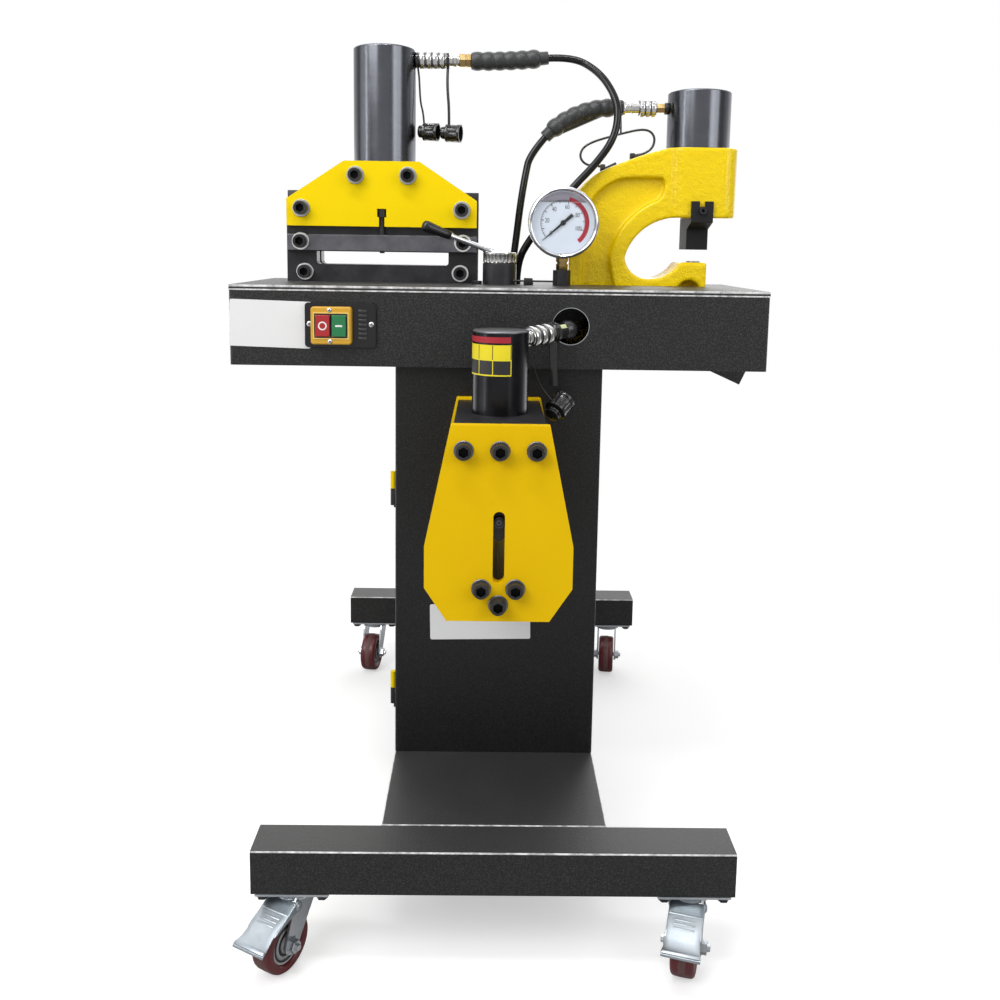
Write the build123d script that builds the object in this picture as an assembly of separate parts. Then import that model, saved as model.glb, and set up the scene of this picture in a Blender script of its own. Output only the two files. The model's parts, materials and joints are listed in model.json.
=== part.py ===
from build123d import *
import os
from math import cos, radians, sin, tan

# Driving dimensions in millimetres. The model is built with x = 0 in the middle of the base, y = 0 at the
# front face of the base and z = 0 on the floor, and is centred on its own box at the end.

# Clearances
RUN_FIT = 0.05
SLIDE_GAP = 0.3
HOLE_GAP = 0.4

# Height of a socket head in radii of its screw
SCREW_HEAD = 1.7

# Base: two cross beams of box section and a folded spine between them
BEAM_LENGTH = 600.0
BEAM_DEPTH = 60.0
BEAM_HEIGHT = 58.0
BEAM_WALL = 3.0
BEAM_ROUND = 2.5
BASE_LENGTH = 964.0
SPINE_SHEET = 4.0

# Casters: plate with kingpin, fork with axle, wheel and brake pedal
CASTER_HEIGHT = 100.0
CASTER_PLATE_LENGTH = 92.0
CASTER_PLATE_INSET = 4.0
CASTER_PLATE_WIDTH = 58.0
CASTER_PLATE_SHEET = 3.0
CASTER_HOLES_LONG = 74.0
CASTER_HOLES_WIDE = 42.0
KINGPIN_RADIUS = 6.0
KINGPIN_HEAD_RADIUS = 10.0
KINGPIN_HEAD_HEIGHT = 3.0
CROWN_RADIUS = 24.0
CROWN_SHEET = 8.0
WHEEL_DIAMETER = 75.0
WHEEL_WIDTH = 30.0
WHEEL_ROUND = 5.0
WHEEL_HUB_RADIUS = 12.0
WHEEL_DISH_RADIUS = 27.0
WHEEL_DISH_DEPTH = 5.0
CASTER_TRAIL = 30.0
FORK_SHEET = 3.0
FORK_GAP = 1.5
FORK_EYE_RADIUS = 12.0
AXLE_RADIUS = 4.0
AXLE_NUT_RADIUS = 7.5
AXLE_NUT_HEIGHT = 5.0
PEDAL_REACH = 86.0
PEDAL_DROP = 43.0
PEDAL_SHEET = 2.0
PEDAL_TIP_WIDTH = 48.0
PEDAL_PIVOT_BACK = 20.0
PEDAL_PIVOT_DROP = 17.0
PEDAL_PIN_RADIUS = 3.0
PEDAL_EYE_RADIUS = 7.0
TURN_FRONT_LEFT = -30.0
TURN_FRONT_RIGHT = -18.0
TURN_REAR_LEFT = -10.0
TURN_REAR_RIGHT = -8.0

# Column with its side door
COLUMN_WIDTH = 290.0
COLUMN_DEPTH = 250.0
COLUMN_FRONT = 250.0
COLUMN_SHEET = 3.0
DOOR_BOTTOM = 200.0
DOOR_TOP = 640.0
DOOR_BACK_MARGIN = 30.0
DOOR_GAP = 1.5
HINGE_SETBACK = 20.0
HINGE_RADIUS = 4.0
HINGE_OFFSET = 4.5
HINGE_LEAF = 2.5
HINGE_LEAF_WIDTH = 15.0
HINGE_HALF = 24.5
HINGE_PIN_RADIUS = 2.0
HINGE_LOW = 224.5
HINGE_HIGH = 526.0
LATCH_INSET = 26.0
LATCH_HEIGHT = 420.0
LATCH_KNOB_RADIUS = 12.0
LATCH_KNOB_DEPTH = 10.0
LATCH_SHAFT_RADIUS = 5.0
LATCH_CAM_LENGTH = 44.0
LATCH_CAM_WIDTH = 14.0
LATCH_CAM_SHEET = 3.0

# Table: folded box with a partly open underside
TABLE_WIDTH = 740.0
TABLE_DEPTH = 290.0
TABLE_OVERHANG = 20.0
TABLE_TOP = 841.0
APRON_HEIGHT = 110.0
TABLE_SHEET = 3.0
TABLE_ROUND = 2.0
TABLE_CORNER = 5.0
FLOOR_LEDGE = 5.0
FLOOR_MARGIN = 8.0
PIPE_HOLE_RADIUS = 30.0
HOSE_HOLE_X = 97.0
HOSE_HOLE_DROP = 51.0
HOSE_HOLE_RADIUS = 25.0

# Switch on the apron
SWITCH_X = -217.5
SWITCH_DROP = 53.5
SWITCH_PLATE_WIDTH = 97.0
SWITCH_PLATE_HEIGHT = 61.0
SWITCH_PLATE_SHEET = 4.0
SWITCH_PLATE_CORNER = 5.0
BEZEL_SHIFT = -11.0
BEZEL_WIDTH = 55.0
BEZEL_HEIGHT = 51.0
BEZEL_DEPTH = 12.0
BEZEL_CORNER = 4.0
BUTTON_WIDTH = 19.0
BUTTON_HEIGHT = 29.0
BUTTON_SPACING = 22.0
BUTTON_PROUD = 3.0
BUTTON_TRAVEL = 4.0
BUTTON_ROUND = 2.0

# Slug chute under the right end of the table
CHUTE_WIDTH = 60.0
CHUTE_SHEET = 2.0
CHUTE_WALL = 25.0
CHUTE_SLOPE = 24.0
CHUTE_LENGTH = 99.0
CHUTE_START = 16.0

# Cutter
CUTTER_X = -178.0
CUTTER_WIDTH = 290.0
CUTTER_FRONT = 385.0
CUTTER_PLATE = 15.0
CUTTER_BODY_DEPTH = 70.0
CUTTER_BODY_HEIGHT = 121.0
CUTTER_HEAD_WIDTH = 110.0
CUTTER_HEAD_TOP = 179.5
CUTTER_SLOT_WIDTH = 200.0
CUTTER_SLOT_BOTTOM = 26.0
CUTTER_SLOT_TOP = 62.0
CUTTER_SLOT_ROUND = 5.0
HEAD_PLATE_WIDTH = 285.0
HEAD_PLATE_BOTTOM = 83.0
HEAD_PLATE_SHOULDER = 123.0
HEAD_PLATE_FLAT = 113.0
HOLD_BAR_BOTTOM = 45.5
HOLD_BAR_HEIGHT = 25.5
HOLD_BAR_DEPTH = 12.0
HOLD_SCREW_RADIUS = 3.8
HOLD_SCREW_HEAD_RADIUS = 6.5
HOLD_SCREW_HEAD_HEIGHT = 12.0
HOLD_SCREW_HEAD_BASE = 97.0
HOLD_SCREW_TIP = 2.0
BLADE_WIDTH = 206.0
BLADE_SHEET = 14.0
BLADE_HEIGHT = 44.0
BLADE_REST = 46.0
BLADE_STROKE = 22.0
BED_BLADE_HEIGHT = 20.0
CUTTER_ROD_RADIUS = 18.0
CUTTER_ROD_LENGTH = 116.0
CUTTER_BORE_DEPTH = 50.0
CUTTER_CYLINDER_DIAMETER = 94.0
CUTTER_CYLINDER_HEIGHT = 170.0
CYLINDER_ROUND = 3.0
CUTTER_SCREW_RADIUS = 7.0
CUTTER_SCREW_HEAD_RADIUS = 10.5
CUTTER_WASHER_RADIUS = 14.0
CUTTER_WASHER = 2.5
CUTTER_SCREW_GRIP = 18.0
# Screw pairs from the top down: distance from the cutter's middle and height over the table
CUTTER_SCREWS = [(39.0, 158.5), (120.0, 109.0), (122.0, 60.0), (118.0, 14.6)]
CUTTER_PORT_DROP = 15.5

# Punch
PUNCH_X = 303.5
PUNCH_Y = 440.0
PUNCH_THICK = 76.0
PUNCH_WEB = 52.0
PUNCH_SPINE_BACK = 198.0
PUNCH_SHOULDER_DROP = 119.0
PUNCH_THROAT_DEPTH = 112.0
PUNCH_THROAT_TOP = 103.0
PUNCH_THROAT_BOTTOM = 10.5
PUNCH_HEAD_TOP = 208.0
PUNCH_HEAD_HALF = 49.0
PUNCH_HEAD_NOSE = 55.0
PUNCH_HEAD_DEPTH = 100.0
PUNCH_HEAD_ROUND = 24.0
# Crown of the casting: run from the spine's back and drop from the head's top, along two arcs
PUNCH_CROWN = [(14.5, 65.0), (48.5, 35.0), (93.0, 17.0)]
PUNCH_RECESS_RIB = 22.0
PUNCH_RECESS_LOW = 30.0
PUNCH_RECESS_CROWN = [(42.0, 69.0), (82.0, 46.0)]
# Recess beside the head: distance behind the head and drop from its top
PUNCH_RECESS_HEAD = [(8.0, 45.0), (6.0, 62.0), (14.0, 78.0)]
# Ribs between recess and throat: above it, behind it and below it
PUNCH_THROAT_RIBS = [4.0, 24.0, 19.0, 5.0]
# Throat: runs from its back to the turns of its roof and floor
PUNCH_THROAT_RUNS = [30.0, 11.0, 38.0, 63.0]
PUNCH_JAW_TOP = 36.5
PUNCH_JAW_BACK = 27.5
PUNCH_JAW_FRONT = 14.0
PUNCH_ARCH_RADIUS = 18.0
PUNCH_ARCH_DEPTH = 20.0
PUNCH_CYLINDER_DIAMETER = 96.0
PUNCH_CYLINDER_HEIGHT = 86.0
PUNCH_RADIUS = 7.0
PUNCH_ROD_RADIUS = 20.0
PUNCH_ROD_LENGTH = 95.0
PUNCH_NOSE_LENGTH = 80.0
PUNCH_STROKE = 27.0
PUNCH_BORE_DEPTH = 12.0
DIE_RADIUS = 11.0
DIE_HEIGHT = 18.0
DIE_PROUD = 2.0
SLUG_RADIUS = 9.0
STRIPPER_WIDTH = 33.0
STRIPPER_TAB_HEIGHT = 25.0
STRIPPER_SHEET = 6.0
STRIPPER_HEEL = 10.0
STRIPPER_REACH = 23.0
STRIPPER_TAIL = 33.0
STRIPPER_NOTCH_WIDTH = 8.5
STRIPPER_NOTCH_DEPTH = 8.0
STRIPPER_DROP = 47.0
STRIPPER_BORE_RADIUS = 9.0
STRIPPER_SCREW_RADIUS = 3.0
STRIPPER_SCREW_HEAD_RADIUS = 5.5
STRIPPER_SCREW_RISE = 10.8
STRIPPER_SCREW_GRIP = 14.0
PUNCH_PORT_RISE = 61.5

# Bender; plates, slot, ram, die and screws are placed by their drops from the table top
BENDER_FRONT = 15.0
BENDER_PLATE = 15.0
BENDER_TOP_DROP = 152.0
BENDER_SHOULDER_DROP = 298.0
BENDER_HIP_DROP = 350.0
BENDER_BOTTOM_DROP = 391.0
BENDER_TOP_HALF = 58.5
BENDER_HALF = 89.0
BENDER_BOTTOM_HALF = 62.0
BENDER_BLOCK_WIDTH = 112.0
BENDER_BLOCK_HEIGHT = 46.0
BENDER_BLOCK_DROP = 3.0
BENDER_CYLINDER_DIAMETER = 72.0
BENDER_CYLINDER_HEIGHT = 106.0
BENDER_SLOT_WIDTH = 14.0
BENDER_SLOT_BOTTOM_DROP = 344.0
BENDER_SLOT_TOP_DROP = 255.5
BENDER_GUIDE_DROP = 270.0
BENDER_GUIDE_RADIUS = 6.0
BENDER_GUIDE_HEAD_RADIUS = 10.5
BENDER_GUIDE_HEAD_HEIGHT = 7.0
BENDER_NOSE_DROP = 296.0
BENDER_RAM_WIDTH = 40.0
BENDER_RAM_HEIGHT = 50.0
BENDER_NOSE_HEIGHT = 22.0
BENDER_NOSE_RADIUS = 5.0
BENDER_STROKE = 52.0
BENDER_ROD_RADIUS = 18.0
BENDER_ROD_LENGTH = 120.0
BENDER_BORE_DEPTH = 40.0
BENDER_DIE_TOP_DROP = 329.0
BENDER_DIE_BOTTOM_DROP = 387.0
BENDER_DIE_WIDTH = 124.0
BENDER_VEE_WIDTH = 60.0
BENDER_VEE_DEPTH = 25.0
BENDER_SCREW_RADIUS = 6.5
BENDER_SCREW_HEAD_RADIUS = 9.75
BENDER_WASHER_RADIUS = 12.0
BENDER_WASHER = 2.5
BENDER_SCREW_GRIP = 18.0
BENDER_SCREW_PITCH = 43.0
BENDER_SCREW_DROP = 182.0
BENDER_LOW_PITCH = 20.5
BENDER_LOW_DROP = 350.0
BENDER_KEEL_DROP = 370.0
BENDER_PORT_DROP = 14.0

# Gauge
GAUGE_X = 92.0
GAUGE_Y = 355.0
GAUGE_RISE = 92.0
GAUGE_DIAMETER = 104.0
GAUGE_DEPTH = 36.0
GAUGE_RECESS_RADIUS = 46.0
GAUGE_RECESS_DEPTH = 14.0
GAUGE_ROUND = 4.0
LENS_SHEET = 3.0
LENS_INSET = 2.0
POINTER_LENGTH = 37.0
POINTER_TAIL = 12.0
POINTER_WIDTH = 3.0
POINTER_SHEET = 1.0
POINTER_ZERO = 131.0
POINTER_HUB_RADIUS = 4.0
SPINDLE_RADIUS = 1.5
SPINDLE_LENGTH = 6.0
STEM_RADIUS = 9.0
GAUGE_NUT_FLATS = 23.0
GAUGE_NUT_HEIGHT = 23.0
GAUGE_PIPE_RADIUS = 6.0

# Direction valve on its manifold
VALVE_Y = 385.0
VALVE_RADIUS = 25.5
VALVE_HEIGHT = 32.0
VALVE_ROUND = 1.5
NECK_RADIUS = 14.0
VALVE_SPINDLE_RADIUS = 6.0
COLLAR_HEIGHT = 16.0
COLLAR_CAP = 4.0
COLLAR_FLUTES = 24
COLLAR_FLUTE_RADIUS = 1.6
LEVER_AZIMUTH = 200.0
LEVER_RISE = 19.0
LEVER_ROD_RADIUS = 4.0
LEVER_REACH = 82.0
KNOB_LENGTH = 36.0
KNOB_RADIUS = 8.5
KNOB_NECK_RADIUS = 6.0
MANIFOLD_LEFT = 60.0
MANIFOLD_RIGHT = 145.0
MANIFOLD_FRONT = 330.0
MANIFOLD_MID = 396.0
MANIFOLD_BACK = 450.0
MANIFOLD_REAR_HALF = 60.0
MANIFOLD_HEIGHT = 48.0
MANIFOLD_BOLTS = [(44.0, 388.0), (-34.0, 366.0)]
HEX_FLATS = 13.0
HEX_HEIGHT = 5.3
BOLT_RADIUS = 4.0
BOLT_GRIP = 12.0

# Hoses, couplers and dust caps
HOSE_RADIUS = 5.75
HOSE_ROOM = 1.2
PORT_RADIUS = 8.0
PORT_DEPTH = 10.0
GUARD_RADIUS = 13.8
GUARD_WAIST = 12.2
GUARD_RIBS = 8
GUARD_LENGTH = 117.0
GUARD_CUFF = 15.0
GUARD_CUFF_RADIUS = 10.0
GUARD_SOCKET = 15.0
# Turn of each guard from its coupler to its cuff, upwards positive, in degrees
CUTTER_GUARD_TURN = 6.6
PUNCH_GUARD_TURN = -47.5
# Couplers: length and radius of each step from the port outwards
CUTTER_COUPLER_STEPS = [(5.0, 9.0), (41.0, 14.5), (20.0, 9.0), (18.0, 10.3)]
PUNCH_COUPLER_STEPS = [(5.0, 9.0), (14.0, 6.5), (26.0, 14.5), (21.0, 8.5), (4.0, 12.0), (14.0, 9.5)]
BENDER_COUPLER_STEPS = [(10.0, 8.5), (6.0, 9.5), (24.0, 14.5), (20.0, 11.0)]
BENDER_FERRULE_LENGTH = 36.0
BENDER_FERRULE_RADIUS = 11.5
CAP_RADIUS = 14.0
CAP_HEIGHT = 31.0
CAP_STRAP_RADIUS = 1.5
CAP_RING = 3.0
CAP_RING_WIDTH = 5.0
CAP_WALL = 2.5
# Points the hoses hang through between their guards and the table top, and where each enters it; the last
# number of a point is its height over the table top
HOSE_LEAD = 48.0
HOSE_RISE = 36.0
CUTTER_HOSE_RUN = [(145.7, 420.0, 320.3), (171.5, 407.0, 280.0), (174.5, 398.0, 247.0),
                   (166.0, 394.0, 214.0),
                   (140.0, 390.0, 179.0), (110.0, 390.0, 148.0), (78.0, 392.0, 108.0), (46.0, 400.0, 69.0)]
PUNCH_HOSE_RUN = [(38.0, 438.0, 165.0), (31.0, 436.0, 119.0), (26.0, 434.0, 73.0)]
HOSE_CUTTER_FOOT = (27.0, 412.0)
HOSE_PUNCH_FOOT = (21.0, 432.0)
BENDER_HOSE_TURN_Y = 290.0
BENDER_HOSE_X = 128.0
BENDER_HOSE_DROP = 44.0
# Where the caps hang, the way each lies, and the run of the punch's loose tether over its casting, again
# with heights over the table top; the bender's cap is given by its drop from the apron's hole
CUTTER_CAPS = [(-111.5, 435.0, 228.5), (-77.0, 435.0, 227.0)]
CUTTER_CAP_WAY = (1.0, -0.25, -0.05)
BENDER_CAP = (80.0, 201.0)
BENDER_CAP_DROP = 108.0
BENDER_CAP_WAY = (0.55, 0.6, 0.58)
PUNCH_TETHER = [(203.0, 199.0), (221.0, 202.5), (233.0, 212.5), (233.5, 227.0), (220.0, 237.0),
                (180.0, 229.0), (134.0, 213.0), (125.0, 196.0), (135.0, 185.0), (157.0, 183.0)]
PUNCH_TETHER_MEET = 230.0

# Power unit in the column
TANK_WIDTH = 220.0
TANK_DEPTH = 190.0
TANK_HEIGHT = 150.0
TANK_ROUND = 10.0
TANK_SHEET = 3.0
FILLER_RADIUS = 12.0
FILLER_INSET = 24.0
FILLER_CAP_RADIUS = 18.0
FILLER_CAP_HEIGHT = 22.0
MOTOR_RADIUS = 65.0
MOTOR_HEIGHT = 210.0
MOTOR_FLANGE_RADIUS = 80.0
MOTOR_FLANGE = 10.0
MOTOR_FINS = 20
MOTOR_FIN_DEPTH = 5.0
MOTOR_COWL = 40.0

# Places that follow from the sizes
BASE_BOTTOM = CASTER_HEIGHT
BEAM_TOP = BASE_BOTTOM + BEAM_HEIGHT
COLUMN_BACK = COLUMN_FRONT + COLUMN_DEPTH
COLUMN_LEFT = -COLUMN_WIDTH / 2
TABLE_FRONT = COLUMN_FRONT - TABLE_OVERHANG
TABLE_BACK = TABLE_FRONT + TABLE_DEPTH
TABLE_BOTTOM = TABLE_TOP - APRON_HEIGHT
TABLE_UNDER = TABLE_TOP - TABLE_SHEET
TABLE_FLOOR = TABLE_BOTTOM + TABLE_SHEET
TABLE_HALF = TABLE_WIDTH / 2
FLOOR_LEFT = COLUMN_WIDTH / 2 + FLOOR_LEDGE
FLOOR_RIGHT = TABLE_HALF - FLOOR_MARGIN
BENDER_TOP = TABLE_TOP - BENDER_TOP_DROP
BENDER_SHOULDER = TABLE_TOP - BENDER_SHOULDER_DROP
BENDER_HIP = TABLE_TOP - BENDER_HIP_DROP
BENDER_BOTTOM = TABLE_TOP - BENDER_BOTTOM_DROP
BENDER_SLOT_BOTTOM = TABLE_TOP - BENDER_SLOT_BOTTOM_DROP
BENDER_SLOT_TOP = TABLE_TOP - BENDER_SLOT_TOP_DROP
BENDER_GUIDE_Z = TABLE_TOP - BENDER_GUIDE_DROP
BENDER_NOSE_Z = TABLE_TOP - BENDER_NOSE_DROP
BENDER_DIE_TOP = TABLE_TOP - BENDER_DIE_TOP_DROP
BENDER_DIE_BOTTOM = TABLE_TOP - BENDER_DIE_BOTTOM_DROP
BENDER_SCREW_Z = TABLE_TOP - BENDER_SCREW_DROP
BENDER_LOW_Z = TABLE_TOP - BENDER_LOW_DROP
BENDER_KEEL_Z = TABLE_TOP - BENDER_KEEL_DROP
SWIVEL_SPACING = BEAM_LENGTH - CASTER_PLATE_LENGTH - 2 * CASTER_PLATE_INSET


def block(x0, x1, y0, y1, z0, z1):
    return Pos((x0 + x1) / 2, (y0 + y1) / 2, (z0 + z1) / 2) * Box(x1 - x0, y1 - y0, z1 - z0)


def prism_y(face, y0, y1):
    return Pos(0, y1, 0) * extrude(Plane.XZ * face, y1 - y0)


def prism_x(face, x0, x1):
    return Pos(x0, 0, 0) * extrude(Plane.YZ * face, x1 - x0)


def outline(*points):
    return make_face(Polyline(*points, close=True))


def rod(start, end, radius):
    way = Vector(*end) - Vector(*start)
    return extrude(Plane(origin=start, z_dir=way) * Circle(radius), way.length)


def post(x, y, z0, z1, radius):
    return rod((x, y, z0), (x, y, z1), radius)


def pin_y(x, z, y0, y1, radius):
    return rod((x, y0, z), (x, y1, z), radius)


def stack(start, way, steps):
    """Coaxial cylinders of (length, radius) set one after another along a direction."""
    axis = Vector(*way).normalized()
    at = Vector(*start)
    body = None
    for length, radius in steps:
        piece = extrude(Plane(origin=at, z_dir=axis) * Circle(radius), length)
        body = piece if body is None else body + piece
        at = at + axis * length
    return body


def hex_bolt(x, y, seat, way):
    """Hex head on its seat with the shank running on the other side; way is +1 for a head above."""
    head = extrude(Pos(x, y, seat) * RegularPolygon(HEX_FLATS / 2, 6, major_radius=False), way * HEX_HEIGHT)
    return head + post(x, y, seat, seat - way * BOLT_GRIP, BOLT_RADIUS)


def socket_screw(x, seat, z, radius, head_radius, grip, washer_radius=0.0, washer=0.0):
    """Socket head screw along +Y, on its washer where it has one, that rests on a face at y = seat."""
    face = seat - washer - SCREW_HEAD * radius
    head = pin_y(x, z, face, seat - washer, head_radius)
    head = chamfer(head.edges().sort_by(Axis.Y)[0], radius * 0.15)
    if washer:
        head += pin_y(x, z, seat - washer, seat, washer_radius)
    shank = pin_y(x, z, seat, seat + grip, radius)
    key = prism_y(Pos(x, z) * RegularPolygon(radius, 6), face, face + radius)
    return head + shank - key


# Base

def bolt_places(side_x, side_y):
    dx = CASTER_HOLES_LONG / 2
    dy = CASTER_HOLES_WIDE / 2
    return [(side_x + a * dx, side_y + b * dy) for a in (-1, 1) for b in (-1, 1)]


FRONT_SWIVEL = BEAM_DEPTH / 2
REAR_SWIVEL = BASE_LENGTH - BEAM_DEPTH / 2
SWIVELS = [
    ("front_left", -SWIVEL_SPACING / 2, FRONT_SWIVEL, TURN_FRONT_LEFT),
    ("front_right", SWIVEL_SPACING / 2, FRONT_SWIVEL, TURN_FRONT_RIGHT),
    ("rear_left", -SWIVEL_SPACING / 2, REAR_SWIVEL, TURN_REAR_LEFT),
    ("rear_right", SWIVEL_SPACING / 2, REAR_SWIVEL, TURN_REAR_RIGHT),
]


def beam(y0):
    half = BEAM_LENGTH / 2
    body = block(-half, half, y0, y0 + BEAM_DEPTH, BASE_BOTTOM, BEAM_TOP)
    body = fillet(body.edges().filter_by(Axis.X), BEAM_ROUND)
    body -= block(-half + BEAM_WALL, half - BEAM_WALL, y0 + BEAM_WALL, y0 + BEAM_DEPTH - BEAM_WALL,
                  BASE_BOTTOM + BEAM_WALL, BEAM_TOP - BEAM_WALL)
    for side in (-1, 1):
        for x, y in bolt_places(side * SWIVEL_SPACING / 2, y0 + BEAM_DEPTH / 2):
            body -= post(x, y, BASE_BOTTOM - 1, BASE_BOTTOM + BEAM_WALL + 1, BOLT_RADIUS + HOLE_GAP)
    return body


base_beams = [beam(0.0), beam(BASE_LENGTH - BEAM_DEPTH)]

spine_half = COLUMN_WIDTH / 2
base_spine = block(-spine_half, spine_half, BEAM_DEPTH, BASE_LENGTH - BEAM_DEPTH, BASE_BOTTOM, BEAM_TOP)
base_spine -= block(-spine_half + SPINE_SHEET, spine_half - SPINE_SHEET, 0, BASE_LENGTH,
                    BASE_BOTTOM - 1, BEAM_TOP - SPINE_SHEET)

# Casters

PLATE_UNDER = CASTER_HEIGHT - CASTER_PLATE_SHEET
CROWN_TOP = PLATE_UNDER - SLIDE_GAP
CROWN_UNDER = CROWN_TOP - CROWN_SHEET
WHEEL_RADIUS = WHEEL_DIAMETER / 2
FORK_IN = WHEEL_WIDTH / 2 + FORK_GAP
FORK_OUT = FORK_IN + FORK_SHEET
PEDAL_PIVOT_Z = CASTER_HEIGHT - PEDAL_PIVOT_DROP


def caster_plate(x, y):
    body = Pos(x, y, CASTER_HEIGHT - CASTER_PLATE_SHEET / 2) * Box(
        CASTER_PLATE_LENGTH, CASTER_PLATE_WIDTH, CASTER_PLATE_SHEET)
    body = fillet(body.edges().filter_by(Axis.Z), CASTER_PLATE_SHEET)
    for bx, by in bolt_places(x, y):
        body -= post(bx, by, PLATE_UNDER - 1, CASTER_HEIGHT + 1, BOLT_RADIUS + HOLE_GAP)
    head_top = CROWN_UNDER - SLIDE_GAP
    body += post(x, y, head_top, PLATE_UNDER, KINGPIN_RADIUS)
    return body + post(x, y, head_top - KINGPIN_HEAD_HEIGHT, head_top, KINGPIN_HEAD_RADIUS)


def caster_fork():
    eye = Pos(-CASTER_TRAIL, WHEEL_RADIUS) * Circle(FORK_EYE_RADIUS)
    reach = CROWN_RADIUS * 0.8
    top = Pos(0, (CROWN_TOP + CROWN_UNDER) / 2) * Rectangle(2 * reach, CROWN_SHEET)
    pivot = Pos(-PEDAL_PIVOT_BACK, PEDAL_PIVOT_Z) * Circle(PEDAL_PIN_RADIUS + FORK_SHEET)
    cheek = make_hull(eye.edges() + top.edges() + pivot.edges())
    body = post(0, 0, CROWN_UNDER, CROWN_TOP, CROWN_RADIUS)
    for side in (-1, 1):
        near, far = sorted((side * FORK_IN, side * FORK_OUT))
        body += prism_x(cheek, near, far)
        body += rod((side * FORK_OUT, -CASTER_TRAIL, WHEEL_RADIUS),
                    (side * (FORK_OUT + AXLE_NUT_HEIGHT), -CASTER_TRAIL, WHEEL_RADIUS), AXLE_NUT_RADIUS)
    body += rod((-FORK_OUT, -CASTER_TRAIL, WHEEL_RADIUS), (FORK_OUT, -CASTER_TRAIL, WHEEL_RADIUS),
                AXLE_RADIUS)
    body -= post(0, 0, CROWN_UNDER - 1, CROWN_TOP + 1, KINGPIN_RADIUS + RUN_FIT)
    body -= rod((-FORK_OUT - 1, -PEDAL_PIVOT_BACK, PEDAL_PIVOT_Z),
                (FORK_OUT + 1, -PEDAL_PIVOT_BACK, PEDAL_PIVOT_Z), PEDAL_PIN_RADIUS + RUN_FIT)
    return body


def caster_wheel():
    half = WHEEL_WIDTH / 2
    dish = half - WHEEL_DISH_DEPTH
    bore = AXLE_RADIUS + RUN_FIT
    section = outline((-half, bore), (-half, WHEEL_HUB_RADIUS), (-dish, WHEEL_HUB_RADIUS),
                      (-dish, WHEEL_DISH_RADIUS), (-half, WHEEL_DISH_RADIUS), (-half, WHEEL_RADIUS),
                      (half, WHEEL_RADIUS), (half, WHEEL_DISH_RADIUS), (dish, WHEEL_DISH_RADIUS),
                      (dish, WHEEL_HUB_RADIUS), (half, WHEEL_HUB_RADIUS), (half, bore))
    corners = section.vertices().group_by(Axis.Y)[-1]
    section = fillet(corners, WHEEL_ROUND)
    return Pos(0, -CASTER_TRAIL, WHEEL_RADIUS) * revolve(section, Axis.X)


def caster_pedal():
    start = (-CROWN_RADIUS - 2, CROWN_UNDER - 1.2)
    tip = (-PEDAL_REACH, CASTER_HEIGHT - PEDAL_DROP)
    inner = FORK_OUT + SLIDE_GAP
    outer = inner + PEDAL_SHEET
    mid = (start[0] * 0.35 + tip[0] * 0.65, start[1] * 0.35 + tip[1] * 0.65)
    tread = outline(start, tip, (tip[0], tip[1] + 2 * PEDAL_SHEET), (start[0], start[1] + PEDAL_SHEET))
    body = prism_x(tread, -outer, outer)
    lip = outline(mid, tip, (tip[0], tip[1] + 2 * PEDAL_SHEET), (mid[0], mid[1] + 1.6 * PEDAL_SHEET))
    body += prism_x(lip, -PEDAL_TIP_WIDTH / 2, PEDAL_TIP_WIDTH / 2)
    pivot = Pos(-PEDAL_PIVOT_BACK, PEDAL_PIVOT_Z) * Circle(PEDAL_EYE_RADIUS)
    flank = outline(start, mid, (mid[0], mid[1] + PEDAL_SHEET), (start[0], start[1] + PEDAL_SHEET))
    cheek = make_hull(pivot.edges() + flank.edges())
    for side in (-1, 1):
        near, far = sorted((side * inner, side * outer))
        body += prism_x(cheek, near, far)
    return body + rod((-outer, -PEDAL_PIVOT_BACK, PEDAL_PIVOT_Z),
                      (outer, -PEDAL_PIVOT_BACK, PEDAL_PIVOT_Z), PEDAL_PIN_RADIUS)


fork_shape = caster_fork()
wheel_shape = caster_wheel()
pedal_shape = caster_pedal()
caster_plates = []
caster_parts = {}
hex_bolts = []
for name, sx, sy, turn in SWIVELS:
    stand = Pos(sx, sy, 0) * Rot(0, 0, turn)
    caster_plates.append(caster_plate(sx, sy))
    caster_parts["fork_" + name] = stand * fork_shape
    caster_parts["wheel_" + name] = stand * wheel_shape
    if name.startswith("front"):
        caster_parts["pedal_" + name] = stand * pedal_shape
    for bx, by in bolt_places(sx, sy):
        hex_bolts.append(hex_bolt(bx, by, PLATE_UNDER, -1))

# Column and door

HINGE_X = COLUMN_LEFT - HINGE_OFFSET
HINGE_Y = COLUMN_FRONT + HINGE_SETBACK
DOOR_FRONT = HINGE_Y + DOOR_GAP + 0.5
DOOR_BACK = COLUMN_BACK - DOOR_BACK_MARGIN
column = block(COLUMN_LEFT, -COLUMN_LEFT, COLUMN_FRONT, COLUMN_BACK, BEAM_TOP, TABLE_BOTTOM)
column = fillet(column.edges().filter_by(Axis.Z), COLUMN_SHEET)
column -= block(COLUMN_LEFT + COLUMN_SHEET, -COLUMN_LEFT - COLUMN_SHEET, COLUMN_FRONT + COLUMN_SHEET,
                COLUMN_BACK - COLUMN_SHEET, BEAM_TOP - 1, TABLE_BOTTOM + 1)
column -= block(COLUMN_LEFT - 1, COLUMN_LEFT + COLUMN_SHEET + 1, DOOR_FRONT - DOOR_GAP,
                DOOR_BACK + DOOR_GAP,
                DOOR_BOTTOM - DOOR_GAP, DOOR_TOP + DOOR_GAP)

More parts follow.
